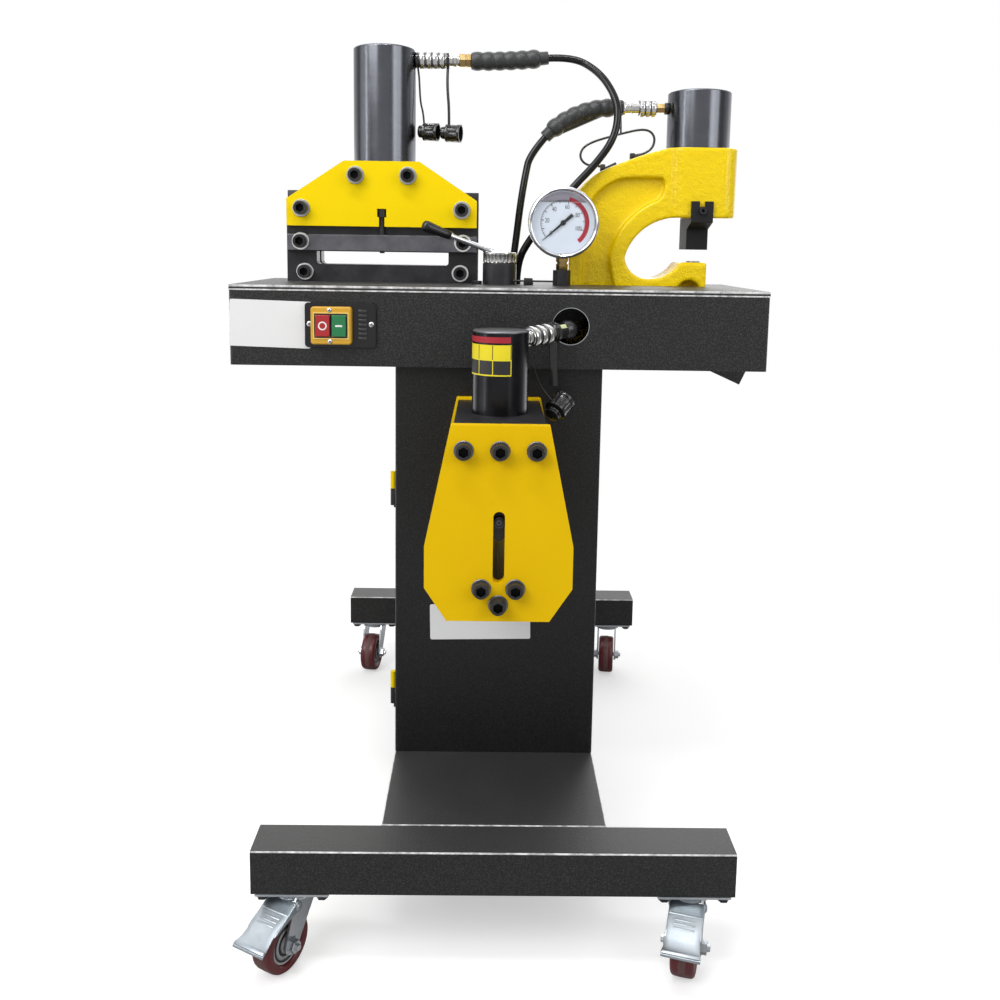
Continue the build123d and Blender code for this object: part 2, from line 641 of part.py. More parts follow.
LATCH_Y = DOOR_BACK - LATCH_INSET
column_door = block(COLUMN_LEFT, COLUMN_LEFT + COLUMN_SHEET, DOOR_FRONT, DOOR_BACK, DOOR_BOTTOM, DOOR_TOP)
column_door -= rod((COLUMN_LEFT - 1, LATCH_Y, LATCH_HEIGHT),
                   (COLUMN_LEFT + COLUMN_SHEET + 1, LATCH_Y, LATCH_HEIGHT),
                   LATCH_SHAFT_RADIUS + RUN_FIT)
door_hinges = []
for low in (HINGE_LOW, HINGE_HIGH):
    top = low + HINGE_HALF
    half = post(HINGE_X, HINGE_Y, low, top, HINGE_RADIUS)
    half += block(COLUMN_LEFT - HINGE_LEAF, COLUMN_LEFT, HINGE_Y - HINGE_LEAF_WIDTH, HINGE_Y, low, top)
    half += post(HINGE_X, HINGE_Y, top, top + HINGE_HALF - 2, HINGE_PIN_RADIUS)
    door_hinges.append(half)
    cup_low = top + SLIDE_GAP
    cup = post(HINGE_X, HINGE_Y, cup_low, cup_low + HINGE_HALF, HINGE_RADIUS)
    cup += block(COLUMN_LEFT - HINGE_LEAF, COLUMN_LEFT - SLIDE_GAP, HINGE_Y, DOOR_FRONT, cup_low,
                 cup_low + HINGE_HALF)
    cup += block(COLUMN_LEFT - HINGE_LEAF, COLUMN_LEFT, DOOR_FRONT, DOOR_FRONT + HINGE_LEAF_WIDTH,
                 cup_low, cup_low + HINGE_HALF)
    cup -= post(HINGE_X, HINGE_Y, cup_low - 1, cup_low + HINGE_HALF - 2 + SLIDE_GAP,
                HINGE_PIN_RADIUS + RUN_FIT)
    column_door += cup

cam_x = COLUMN_LEFT + COLUMN_SHEET + SLIDE_GAP
door_latch = rod((COLUMN_LEFT - LATCH_KNOB_DEPTH - SLIDE_GAP, LATCH_Y, LATCH_HEIGHT),
                 (COLUMN_LEFT - SLIDE_GAP, LATCH_Y, LATCH_HEIGHT), LATCH_KNOB_RADIUS)
door_latch += rod((COLUMN_LEFT - SLIDE_GAP, LATCH_Y, LATCH_HEIGHT),
                  (cam_x + LATCH_CAM_SHEET, LATCH_Y, LATCH_HEIGHT),
                  LATCH_SHAFT_RADIUS)
door_latch += block(cam_x, cam_x + LATCH_CAM_SHEET, LATCH_Y - LATCH_CAM_WIDTH / 2,
                    LATCH_Y + LATCH_CAM_WIDTH / 2,
                    LATCH_HEIGHT - LATCH_CAM_LENGTH, LATCH_HEIGHT + LATCH_CAM_WIDTH / 2)

# Power unit: tank on the spine, motor on the tank

tank_y = (COLUMN_FRONT + COLUMN_BACK) / 2
TANK_TOP = BEAM_TOP + TANK_HEIGHT
oil_tank = block(-TANK_WIDTH / 2, TANK_WIDTH / 2, tank_y - TANK_DEPTH / 2, tank_y + TANK_DEPTH / 2,
                 BEAM_TOP, TANK_TOP)
oil_tank = fillet(oil_tank.edges().filter_by(Axis.Z), TANK_ROUND)
tank_void = block(-TANK_WIDTH / 2 + TANK_SHEET, TANK_WIDTH / 2 - TANK_SHEET,
                  tank_y - TANK_DEPTH / 2 + TANK_SHEET,
                  tank_y + TANK_DEPTH / 2 - TANK_SHEET, BEAM_TOP + TANK_SHEET, TANK_TOP - TANK_SHEET)
oil_tank -= fillet(tank_void.edges().filter_by(Axis.Z), TANK_ROUND - TANK_SHEET)
filler = (TANK_WIDTH / 2 - FILLER_INSET, tank_y - TANK_DEPTH / 2 + FILLER_INSET)
oil_tank -= post(*filler, TANK_TOP - TANK_SHEET - 1, TANK_TOP + 1, FILLER_RADIUS + HOLE_GAP)
filler_cap = post(*filler, TANK_TOP, TANK_TOP + FILLER_CAP_HEIGHT, FILLER_CAP_RADIUS)
filler_cap += post(*filler, TANK_TOP - TANK_SHEET, TANK_TOP, FILLER_RADIUS)
flange_top = TANK_TOP + MOTOR_FLANGE
motor_top = TANK_TOP + MOTOR_HEIGHT
motor = post(0, tank_y, TANK_TOP, flange_top, MOTOR_FLANGE_RADIUS)
motor += post(0, tank_y, flange_top, motor_top - MOTOR_COWL, MOTOR_RADIUS - MOTOR_FIN_DEPTH)
motor += post(0, tank_y, motor_top - MOTOR_COWL, motor_top, MOTOR_RADIUS)
for k in range(MOTOR_FINS):
    fin = block(0, MOTOR_RADIUS, -MOTOR_FIN_DEPTH / 4, MOTOR_FIN_DEPTH / 4, flange_top,
                motor_top - MOTOR_COWL)
    motor += Pos(0, tank_y, 0) * Rot(0, 0, 360 * k / MOTOR_FINS) * fin

# Table

APRON_HOLE_Z = TABLE_TOP - HOSE_HOLE_DROP
PUNCH_LEFT = PUNCH_X - PUNCH_SPINE_BACK
PUNCH_RIGHT = PUNCH_X + PUNCH_JAW_FRONT
PUNCH_FACE = PUNCH_Y - PUNCH_THICK / 2
PUNCH_REAR = PUNCH_Y + PUNCH_THICK / 2

table = block(-TABLE_HALF, TABLE_HALF, TABLE_FRONT, TABLE_BACK, TABLE_BOTTOM, TABLE_TOP)
table = fillet(table.edges().filter_by(Axis.Z), TABLE_CORNER)
table = fillet(table.edges().group_by(Axis.Z)[-1], TABLE_ROUND)
table -= block(-TABLE_HALF + TABLE_SHEET, TABLE_HALF - TABLE_SHEET, TABLE_FRONT + TABLE_SHEET,
               TABLE_BACK - TABLE_SHEET, TABLE_FLOOR, TABLE_UNDER)
for near, far in ((-TABLE_HALF + TABLE_SHEET, -FLOOR_LEFT), (FLOOR_RIGHT, TABLE_HALF - TABLE_SHEET)):
    table -= block(near, far, TABLE_FRONT + TABLE_SHEET, TABLE_BACK - TABLE_SHEET, TABLE_BOTTOM - 1,
                   TABLE_FLOOR + 1)
table -= block(PUNCH_LEFT - SLIDE_GAP, PUNCH_RIGHT + SLIDE_GAP, PUNCH_FACE - SLIDE_GAP,
               PUNCH_REAR + SLIDE_GAP,
               TABLE_UNDER - 1, TABLE_TOP + 1)
table -= post(0, tank_y, TABLE_BOTTOM - 1, TABLE_FLOOR + 1, PIPE_HOLE_RADIUS)
table -= post(PUNCH_X, PUNCH_Y, TABLE_BOTTOM - 1, TABLE_FLOOR + 1, SLUG_RADIUS + HOLE_GAP)
table -= pin_y(HOSE_HOLE_X, APRON_HOLE_Z, TABLE_FRONT - 1, TABLE_FRONT + TABLE_SHEET + 1, HOSE_HOLE_RADIUS)
for x, y, radius in [(*HOSE_CUTTER_FOOT, HOSE_RADIUS + HOSE_ROOM),
                     (*HOSE_PUNCH_FOOT, HOSE_RADIUS + HOSE_ROOM),
                     (GAUGE_X, GAUGE_Y, GAUGE_PIPE_RADIUS + HOLE_GAP), (0, VALVE_Y, NECK_RADIUS + HOLE_GAP),
                     (*MANIFOLD_BOLTS[0], BOLT_RADIUS + HOLE_GAP),
                     (*MANIFOLD_BOLTS[1], BOLT_RADIUS + HOLE_GAP)]:
    table -= post(x, y, TABLE_UNDER - 1, TABLE_TOP + 1, radius)

# Switch

switch_z = TABLE_TOP - SWITCH_DROP
bezel_x = SWITCH_X + BEZEL_SHIFT
plate_front = TABLE_FRONT - SWITCH_PLATE_SHEET
bezel_front = plate_front - BEZEL_DEPTH
switch_plate = prism_y(Pos(SWITCH_X, switch_z) * RectangleRounded(
    SWITCH_PLATE_WIDTH, SWITCH_PLATE_HEIGHT, SWITCH_PLATE_CORNER), plate_front, TABLE_FRONT)
switch_bezel = prism_y(Pos(bezel_x, switch_z) * RectangleRounded(BEZEL_WIDTH, BEZEL_HEIGHT, BEZEL_CORNER),
                       bezel_front, plate_front)
switch_bezel = chamfer(switch_bezel.faces().sort_by(Axis.Y)[0].edges(), 1.5)
buttons = []
for side in (-1, 1):
    place = Pos(bezel_x + side * BUTTON_SPACING / 2, switch_z)
    switch_bezel -= prism_y(place * RectangleRounded(BUTTON_WIDTH + 2 * SLIDE_GAP,
                                                     BUTTON_HEIGHT + 2 * SLIDE_GAP,
                                                     BUTTON_ROUND + SLIDE_GAP), bezel_front - 1,
                            plate_front)
    key = prism_y(place * RectangleRounded(BUTTON_WIDTH, BUTTON_HEIGHT, BUTTON_ROUND),
                  bezel_front - BUTTON_PROUD,
                  plate_front - BUTTON_TRAVEL - SLIDE_GAP)
    buttons.append(fillet(key.faces().sort_by(Axis.Y)[0].edges(), 1.0))
stop_button, start_button = buttons

# Slug chute: a trough hung under the table floor below the die

chute_x = PUNCH_X - CHUTE_START
chute_drop = tan(radians(CHUTE_SLOPE))
chute_tip = (chute_x + CHUTE_LENGTH * cos(radians(CHUTE_SLOPE)),
             TABLE_BOTTOM - CHUTE_SHEET - CHUTE_LENGTH * sin(radians(CHUTE_SLOPE)))
chute_lip = (chute_tip[0] + CHUTE_WALL * sin(radians(CHUTE_SLOPE)),
             chute_tip[1] + CHUTE_WALL * cos(radians(CHUTE_SLOPE)))
chute_meet = chute_lip[0] - (TABLE_BOTTOM - chute_lip[1]) / chute_drop
chute_floor = TABLE_BOTTOM - CHUTE_SHEET + CHUTE_SHEET / cos(radians(CHUTE_SLOPE))
slug_chute = prism_y(outline((chute_x, TABLE_BOTTOM), (chute_x, TABLE_BOTTOM - CHUTE_SHEET), chute_tip,
                             chute_lip,
                             (chute_meet, TABLE_BOTTOM)), PUNCH_Y - CHUTE_WIDTH / 2,
                     PUNCH_Y + CHUTE_WIDTH / 2)
far_x = chute_lip[0] + CHUTE_WALL
slug_chute -= prism_y(outline((chute_x, chute_floor), (far_x, chute_floor - (far_x - chute_x) * chute_drop),
                              (far_x, TABLE_TOP), (chute_x, TABLE_TOP)),
                      PUNCH_Y - CHUTE_WIDTH / 2 + CHUTE_SHEET, PUNCH_Y + CHUTE_WIDTH / 2 - CHUTE_SHEET)

# Cutter

CUTTER_BODY_FRONT = CUTTER_FRONT + CUTTER_PLATE
CUTTER_BODY_BACK = CUTTER_BODY_FRONT + CUTTER_BODY_DEPTH
CUTTER_AXIS_Y = (CUTTER_BODY_FRONT + CUTTER_BODY_BACK) / 2
CUTTER_TOP = TABLE_TOP + CUTTER_HEAD_TOP
cutter_half = CUTTER_WIDTH / 2
head_half = CUTTER_HEAD_WIDTH / 2
body_top = TABLE_TOP + CUTTER_BODY_HEIGHT
cutter_body = prism_y(outline(
    (CUTTER_X - cutter_half, TABLE_TOP), (CUTTER_X + cutter_half, TABLE_TOP),
                              (CUTTER_X + cutter_half, body_top),
    (CUTTER_X + head_half, body_top), (CUTTER_X + head_half, CUTTER_TOP),
                              (CUTTER_X - head_half, CUTTER_TOP),
    (CUTTER_X - head_half, body_top), (CUTTER_X - cutter_half, body_top)), CUTTER_BODY_FRONT,
                      CUTTER_BODY_BACK)
slot_low = TABLE_TOP + CUTTER_SLOT_BOTTOM
slot_high = TABLE_TOP + CUTTER_SLOT_TOP
cutter_body -= prism_y(Pos(CUTTER_X, (slot_low + slot_high) / 2) * RectangleRounded(
    CUTTER_SLOT_WIDTH, slot_high - slot_low, CUTTER_SLOT_ROUND), CUTTER_BODY_FRONT - 1,
                       CUTTER_BODY_BACK + 1)
blade_front = CUTTER_AXIS_Y - BLADE_SHEET / 2
blade_back = CUTTER_AXIS_Y + BLADE_SHEET / 2
blade_half = BLADE_WIDTH / 2
blade_low = TABLE_TOP + BLADE_REST
blade_top = blade_low + BLADE_HEIGHT
cutter_body -= block(CUTTER_X - blade_half - SLIDE_GAP, CUTTER_X + blade_half + SLIDE_GAP,
                     blade_front - SLIDE_GAP,
                     blade_back + SLIDE_GAP, blade_low - BLADE_STROKE - 2, blade_top + 2)
cutter_body -= post(CUTTER_X, CUTTER_AXIS_Y, blade_top - BLADE_STROKE - 1, CUTTER_TOP + 1,
                    CUTTER_ROD_RADIUS + RUN_FIT)
bed_front = blade_back + SLIDE_GAP
cutter_body -= block(CUTTER_X - blade_half, CUTTER_X + blade_half, bed_front, bed_front + BLADE_SHEET,
                     slot_low - BED_BLADE_HEIGHT, slot_low + 1)
cutter_bed_blade = block(CUTTER_X - blade_half, CUTTER_X + blade_half, bed_front, bed_front + BLADE_SHEET,
                         slot_low - BED_BLADE_HEIGHT, slot_low)
cutter_blade = block(CUTTER_X - blade_half, CUTTER_X + blade_half, blade_front, blade_back, blade_low,
                     blade_top)
cutter_blade += post(CUTTER_X, CUTTER_AXIS_Y, blade_top, blade_top + CUTTER_ROD_LENGTH, CUTTER_ROD_RADIUS)

plate_half = HEAD_PLATE_WIDTH / 2
flat_half = HEAD_PLATE_FLAT / 2
plate_low = TABLE_TOP + HEAD_PLATE_BOTTOM
head_plate_face = outline(
    (CUTTER_X - plate_half, plate_low), (CUTTER_X + plate_half, plate_low),
    (CUTTER_X + plate_half, TABLE_TOP + HEAD_PLATE_SHOULDER), (CUTTER_X + flat_half, CUTTER_TOP),
    (CUTTER_X - flat_half, CUTTER_TOP), (CUTTER_X - plate_half, TABLE_TOP + HEAD_PLATE_SHOULDER))
screw_y = CUTTER_BODY_FRONT - HOLD_SCREW_HEAD_RADIUS - HOLE_GAP
screw_base = TABLE_TOP + HOLD_SCREW_HEAD_BASE
screw_top = screw_base + HOLD_SCREW_HEAD_HEIGHT
bar_low = TABLE_TOP + HOLD_BAR_BOTTOM
bar_top = bar_low + HOLD_BAR_HEIGHT
front_plate = prism_y(head_plate_face, CUTTER_FRONT, CUTTER_BODY_FRONT)
shank_room = HOLD_SCREW_RADIUS + HOLE_GAP
head_room = HOLD_SCREW_HEAD_RADIUS + HOLE_GAP
front_plate -= block(CUTTER_X - shank_room, CUTTER_X + shank_room, CUTTER_FRONT - 1, CUTTER_BODY_FRONT + 1,
                     plate_low - 1, screw_base + 1)
front_plate -= block(CUTTER_X - head_room, CUTTER_X + head_room, CUTTER_FRONT - 1, CUTTER_BODY_FRONT + 1,
                     screw_base, screw_top + HOLE_GAP)
rear_plate = prism_y(head_plate_face, CUTTER_BODY_BACK, CUTTER_BODY_BACK + CUTTER_PLATE)
hold_bar_front = CUTTER_BODY_FRONT - HOLD_BAR_DEPTH
cutter_hold_bar = block(CUTTER_X - plate_half, CUTTER_X + plate_half, hold_bar_front, CUTTER_BODY_FRONT,
                        bar_low, bar_top)
cutter_hold_bar = chamfer(cutter_hold_bar.faces().sort_by(Axis.Y)[0].edges().filter_by(Axis.X), 1.5)
cutter_hold_bar -= post(CUTTER_X, screw_y, bar_low - 1, bar_top + 1, HOLD_SCREW_RADIUS + RUN_FIT)
cutter_hold_screw = post(CUTTER_X, screw_y, bar_low - HOLD_SCREW_TIP, screw_base, HOLD_SCREW_RADIUS)
cutter_hold_screw += post(CUTTER_X, screw_y, screw_base, screw_top, HOLD_SCREW_HEAD_RADIUS)

socket_screws = []
screw_seats = [CUTTER_FRONT, CUTTER_FRONT, hold_bar_front, CUTTER_BODY_FRONT]
cutter_screws = [(side * run, rise, seat) for (run, rise),
                 seat in zip(CUTTER_SCREWS, screw_seats) for side in (-1, 1)]
for dx, rise, seat in cutter_screws:
    x = CUTTER_X + dx
    z = TABLE_TOP + rise
    depth = CUTTER_BODY_FRONT - seat + CUTTER_SCREW_GRIP
    socket_screws.append(socket_screw(x, seat, z, CUTTER_SCREW_RADIUS, CUTTER_SCREW_HEAD_RADIUS, depth,
                                      CUTTER_WASHER_RADIUS, CUTTER_WASHER))
    hole = pin_y(x, z, seat - 1, CUTTER_BODY_FRONT, CUTTER_SCREW_RADIUS + HOLE_GAP)
    thread = pin_y(x, z, CUTTER_BODY_FRONT, CUTTER_BODY_FRONT + CUTTER_SCREW_GRIP + 1,
                   CUTTER_SCREW_RADIUS + RUN_FIT)
    cutter_body -= thread
    if seat == CUTTER_FRONT:
        front_plate -= hole
    if seat == hold_bar_front:
        cutter_hold_bar -= hole
cutter_head_plates = [front_plate, rear_plate]

CUTTER_CYLINDER_TOP = CUTTER_TOP + CUTTER_CYLINDER_HEIGHT
cutter_cylinder = post(CUTTER_X, CUTTER_AXIS_Y, CUTTER_TOP, CUTTER_CYLINDER_TOP,
                       CUTTER_CYLINDER_DIAMETER / 2)
cutter_cylinder = fillet(cutter_cylinder.edges().group_by(Axis.Z)[-1], CYLINDER_ROUND)
cutter_cylinder -= post(CUTTER_X, CUTTER_AXIS_Y, CUTTER_TOP - 1, CUTTER_TOP + CUTTER_BORE_DEPTH,
                        CUTTER_ROD_RADIUS + RUN_FIT)
CUTTER_PORT = (CUTTER_X + CUTTER_CYLINDER_DIAMETER / 2, CUTTER_AXIS_Y,
               CUTTER_CYLINDER_TOP - CUTTER_PORT_DROP)
port_in = (CUTTER_PORT[0] - PORT_DEPTH, CUTTER_PORT[1], CUTTER_PORT[2])
cutter_cylinder -= rod(port_in, (CUTTER_PORT[0] + 1, CUTTER_PORT[1], CUTTER_PORT[2]), PORT_RADIUS + RUN_FIT)

# Punch: C-frame casting standing on the table floor in a slot of the table top


def px(dx):
    return PUNCH_X + dx


def pz(rise):
    return TABLE_TOP + rise


throat_x = -PUNCH_THROAT_DEPTH
spine_x = -PUNCH_SPINE_BACK
throat_mid = (PUNCH_THROAT_TOP + PUNCH_THROAT_BOTTOM) * 0.37
throat_span = PUNCH_THROAT_TOP - PUNCH_THROAT_BOTTOM
shoulder = PUNCH_HEAD_TOP - PUNCH_SHOULDER_DROP


def from_spine(run, drop):
    return px(spine_x + run), pz(PUNCH_HEAD_TOP - drop)


def behind_head(run, drop):
    return px(-PUNCH_HEAD_HALF - run), pz(PUNCH_HEAD_TOP - drop)


crown_back, crown_mid, crown_front = [from_spine(*place) for place in PUNCH_CROWN]
roof_run, floor_turn, floor_run, jaw_turn = PUNCH_THROAT_RUNS
heel = (px(spine_x), pz(shoulder))
head_back = behind_head(0, 0)
roof_end = (px(-PUNCH_JAW_BACK), pz(PUNCH_THROAT_TOP))
throat_back = (px(throat_x), pz(throat_mid))
floor_end = (px(throat_x + floor_run), pz(PUNCH_THROAT_BOTTOM))
jaw_rise = PUNCH_JAW_TOP - PUNCH_THROAT_BOTTOM
jaw_back = (px(-PUNCH_JAW_BACK), pz(PUNCH_JAW_TOP))
jaw_front = (px(PUNCH_JAW_FRONT), pz(PUNCH_JAW_TOP))
frame_edge = [
    Line((px(spine_x), TABLE_FLOOR), heel),
    ThreePointArc(heel, crown_back, crown_mid),
    ThreePointArc(crown_mid, crown_front, head_back),
    Line(head_back, (px(0), pz(PUNCH_HEAD_TOP))),
    Line((px(0), pz(PUNCH_HEAD_TOP)), (px(0), pz(PUNCH_THROAT_TOP))),
    Line((px(0), pz(PUNCH_THROAT_TOP)), roof_end),
    ThreePointArc(roof_end, (px(throat_x + roof_run), pz(PUNCH_THROAT_TOP - 0.17 * throat_span)),
                  throat_back),
    ThreePointArc(throat_back, (px(throat_x + floor_turn), pz(PUNCH_THROAT_BOTTOM + 0.11 * throat_span)),
                  floor_end),
    ThreePointArc(floor_end, (px(throat_x + jaw_turn), pz(PUNCH_THROAT_BOTTOM + 0.22 * jaw_rise)),
                  jaw_back),
    Line(jaw_back, jaw_front),
    Line(jaw_front, (px(PUNCH_JAW_FRONT), TABLE_FLOOR)),
    Line((px(PUNCH_JAW_FRONT), TABLE_FLOOR), (px(spine_x), TABLE_FLOOR)),
]
punch_frame = prism_y(make_face(frame_edge), PUNCH_FACE, PUNCH_REAR)
over_rib, back_rib, low_rib, foot_rib = PUNCH_THROAT_RIBS
recess_foot = (px(spine_x + PUNCH_RECESS_RIB), pz(-PUNCH_RECESS_LOW))
recess_heel = (px(spine_x + PUNCH_RECESS_RIB), pz(shoulder))
recess_turn, recess_crown = [from_spine(*place) for place in PUNCH_RECESS_CROWN]
recess_top, recess_side, recess_chin = [behind_head(*place) for place in PUNCH_RECESS_HEAD]
recess_back = (px(throat_x - back_rib), pz(throat_mid))
recess_toe = (px(throat_x - foot_rib), pz(-PUNCH_RECESS_LOW))
recess_edge = [
    Line(recess_foot, recess_heel),
    ThreePointArc(recess_heel, recess_turn, recess_crown),
    Line(recess_crown, recess_top),
    ThreePointArc(recess_top, recess_side, recess_chin),
    ThreePointArc(recess_chin, (px(throat_x + over_rib), pz(PUNCH_THROAT_TOP - 0.04 * throat_span)),
                  recess_back),
    ThreePointArc(recess_back, (px(throat_x - low_rib), pz(throat_mid * 0.35)), recess_toe),
    Line(recess_toe, recess_foot),
]
recess_depth = (PUNCH_THICK - PUNCH_WEB) / 2
recess_face = make_face(recess_edge)
punch_frame -= prism_y(recess_face, PUNCH_FACE - 1, PUNCH_FACE + recess_depth)
punch_frame -= prism_y(recess_face, PUNCH_REAR - recess_depth, PUNCH_REAR + 1)
head_front = PUNCH_Y - PUNCH_HEAD_DEPTH / 2
head = block(px(-PUNCH_HEAD_HALF), px(PUNCH_HEAD_NOSE), head_front, head_front + PUNCH_HEAD_DEPTH,
             pz(PUNCH_THROAT_TOP), pz(PUNCH_HEAD_TOP))
head = fillet(head.edges().filter_by(Axis.Z), PUNCH_HEAD_ROUND)
punch_frame += head
PUNCH_TOP = pz(PUNCH_HEAD_TOP)
DIE_TOP = pz(PUNCH_JAW_TOP) + DIE_PROUD
NOSE_TIP = DIE_TOP + PUNCH_STROKE - 6
NOSE_TOP = NOSE_TIP + PUNCH_NOSE_LENGTH
punch_frame -= post(PUNCH_X, PUNCH_Y, pz(PUNCH_THROAT_TOP) - 1, NOSE_TOP, STRIPPER_BORE_RADIUS)
punch_frame -= post(PUNCH_X, PUNCH_Y, NOSE_TOP - PUNCH_STROKE - 1, PUNCH_TOP + 1,
                    PUNCH_ROD_RADIUS + RUN_FIT)
punch_frame -= post(PUNCH_X, PUNCH_Y, DIE_TOP - DIE_HEIGHT, DIE_TOP + 1, DIE_RADIUS + RUN_FIT)
punch_frame -= post(PUNCH_X, PUNCH_Y, TABLE_FLOOR - 1, DIE_TOP, SLUG_RADIUS)
arch_z = TABLE_TOP - PUNCH_ARCH_RADIUS / 2
punch_frame -= pin_y(px(PUNCH_JAW_FRONT) - 1.45 * PUNCH_ARCH_RADIUS, arch_z, PUNCH_FACE - 1,
                     PUNCH_FACE + PUNCH_ARCH_DEPTH, PUNCH_ARCH_RADIUS)
punch_die = post(PUNCH_X, PUNCH_Y, DIE_TOP - DIE_HEIGHT, DIE_TOP, DIE_RADIUS)
punch_die -= post(PUNCH_X, PUNCH_Y, DIE_TOP - DIE_HEIGHT - 1, DIE_TOP + 1, PUNCH_RADIUS + SLIDE_GAP)
punch_ram = post(PUNCH_X, PUNCH_Y, NOSE_TIP, NOSE_TOP, PUNCH_RADIUS)
punch_ram += post(PUNCH_X, PUNCH_Y, NOSE_TOP, NOSE_TOP + PUNCH_ROD_LENGTH, PUNCH_ROD_RADIUS)
PUNCH_CYLINDER_TOP = PUNCH_TOP + PUNCH_CYLINDER_HEIGHT
punch_cylinder = post(PUNCH_X, PUNCH_Y, PUNCH_TOP, PUNCH_CYLINDER_TOP, PUNCH_CYLINDER_DIAMETER / 2)
punch_cylinder = fillet(punch_cylinder.edges().group_by(Axis.Z)[-1], CYLINDER_ROUND)
punch_cylinder -= post(PUNCH_X, PUNCH_Y, PUNCH_TOP - 1, NOSE_TOP + PUNCH_ROD_LENGTH + PUNCH_BORE_DEPTH,
                       PUNCH_ROD_RADIUS + RUN_FIT)
PUNCH_PORT = (PUNCH_X - PUNCH_CYLINDER_DIAMETER / 2, PUNCH_Y, PUNCH_TOP + PUNCH_PORT_RISE)
punch_cylinder -= rod((PUNCH_PORT[0] + PORT_DEPTH, PUNCH_Y, PUNCH_PORT[2]),
                      (PUNCH_PORT[0] - 1, PUNCH_Y, PUNCH_PORT[2]),
                      PORT_RADIUS + RUN_FIT)

# Stripper: a bracket with its tab screwed to the face of the head and its block round the punch

strip_top = pz(PUNCH_THROAT_TOP)
strip_front = head_front - STRIPPER_SHEET
strip_low = strip_top - STRIPPER_DROP
tab_top = strip_top + STRIPPER_TAB_HEIGHT
punch_stripper = prism_x(outline(
    (strip_front, tab_top), (head_front, tab_top), (head_front, strip_top),
                                 (PUNCH_Y + STRIPPER_TAIL, strip_top),
    (PUNCH_Y + STRIPPER_TAIL, strip_low), (PUNCH_Y - STRIPPER_REACH, strip_low),
    (PUNCH_Y - STRIPPER_REACH, strip_top - STRIPPER_SHEET - STRIPPER_HEEL),
                                 (strip_front, strip_top - STRIPPER_SHEET)),
    PUNCH_X - STRIPPER_WIDTH / 2, PUNCH_X + STRIPPER_WIDTH / 2)
punch_stripper -= post(PUNCH_X, PUNCH_Y, strip_low - 1, strip_top + 1, STRIPPER_BORE_RADIUS)
punch_stripper -= block(PUNCH_X - STRIPPER_NOTCH_WIDTH / 2, PUNCH_X + STRIPPER_NOTCH_WIDTH / 2,
                        strip_front - 1,
                        head_front + 1, tab_top - STRIPPER_NOTCH_DEPTH, tab_top + 1)
strip_screw_z = strip_top + STRIPPER_SCREW_RISE
punch_stripper -= pin_y(PUNCH_X, strip_screw_z, strip_front - 1, head_front + 1,
                        STRIPPER_SCREW_RADIUS + HOLE_GAP)
punch_frame -= pin_y(PUNCH_X, strip_screw_z, head_front - 1, head_front + STRIPPER_SCREW_GRIP + 1,
                     STRIPPER_SCREW_RADIUS + RUN_FIT)
socket_screws.append(socket_screw(PUNCH_X, strip_front, strip_screw_z, STRIPPER_SCREW_RADIUS,
                                  STRIPPER_SCREW_HEAD_RADIUS, STRIPPER_SHEET + STRIPPER_SCREW_GRIP))

# Bender

BENDER_INNER = BENDER_FRONT + BENDER_PLATE
BENDER_OUTER = COLUMN_FRONT - BENDER_PLATE
BENDER_AXIS_Y = (BENDER_INNER + BENDER_OUTER) / 2
bender_face = outline((-BENDER_TOP_HALF, BENDER_TOP), (-BENDER_HALF, BENDER_SHOULDER),
                      (-BENDER_HALF, BENDER_HIP),
                      (-BENDER_BOTTOM_HALF, BENDER_BOTTOM), (BENDER_BOTTOM_HALF, BENDER_BOTTOM),
                      (BENDER_HALF, BENDER_HIP), (BENDER_HALF, BENDER_SHOULDER),
                      (BENDER_TOP_HALF, BENDER_TOP))
slot_mid = (BENDER_SLOT_TOP + BENDER_SLOT_BOTTOM) / 2
slot_face = Pos(0, slot_mid) * SlotOverall(BENDER_SLOT_TOP - BENDER_SLOT_BOTTOM, BENDER_SLOT_WIDTH,
                                           rotation=90)
bender_front_plate = prism_y(bender_face, BENDER_FRONT, BENDER_INNER)
bender_front_plate -= prism_y(slot_face, BENDER_FRONT - 1, BENDER_INNER + 1)
bender_rear_plate = prism_y(bender_face, BENDER_OUTER, COLUMN_FRONT)
block_top = BENDER_TOP - BENDER_BLOCK_DROP
bender_head_block = block(-BENDER_BLOCK_WIDTH / 2, BENDER_BLOCK_WIDTH / 2, BENDER_INNER, BENDER_OUTER,
                          block_top - BENDER_BLOCK_HEIGHT, block_top)
bender_head_block -= post(0, BENDER_AXIS_Y, block_top - BENDER_BLOCK_HEIGHT - 1, block_top + 1,
                          BENDER_ROD_RADIUS + RUN_FIT)
vee_half = BENDER_VEE_WIDTH / 2
die_half = BENDER_DIE_WIDTH / 2
bender_die = prism_y(outline((-die_half, BENDER_DIE_BOTTOM), (die_half, BENDER_DIE_BOTTOM),
                             (die_half, BENDER_DIE_TOP),
                             (vee_half, BENDER_DIE_TOP), (0, BENDER_DIE_TOP - BENDER_VEE_DEPTH),
                             (-vee_half, BENDER_DIE_TOP),
                             (-die_half, BENDER_DIE_TOP)), BENDER_INNER, BENDER_OUTER)
BENDER_SCREWS = [(-BENDER_SCREW_PITCH, BENDER_SCREW_Z), (0, BENDER_SCREW_Z),
                 (BENDER_SCREW_PITCH, BENDER_SCREW_Z),
                 (-BENDER_LOW_PITCH, BENDER_LOW_Z), (BENDER_LOW_PITCH, BENDER_LOW_Z), (0, BENDER_KEEL_Z)]
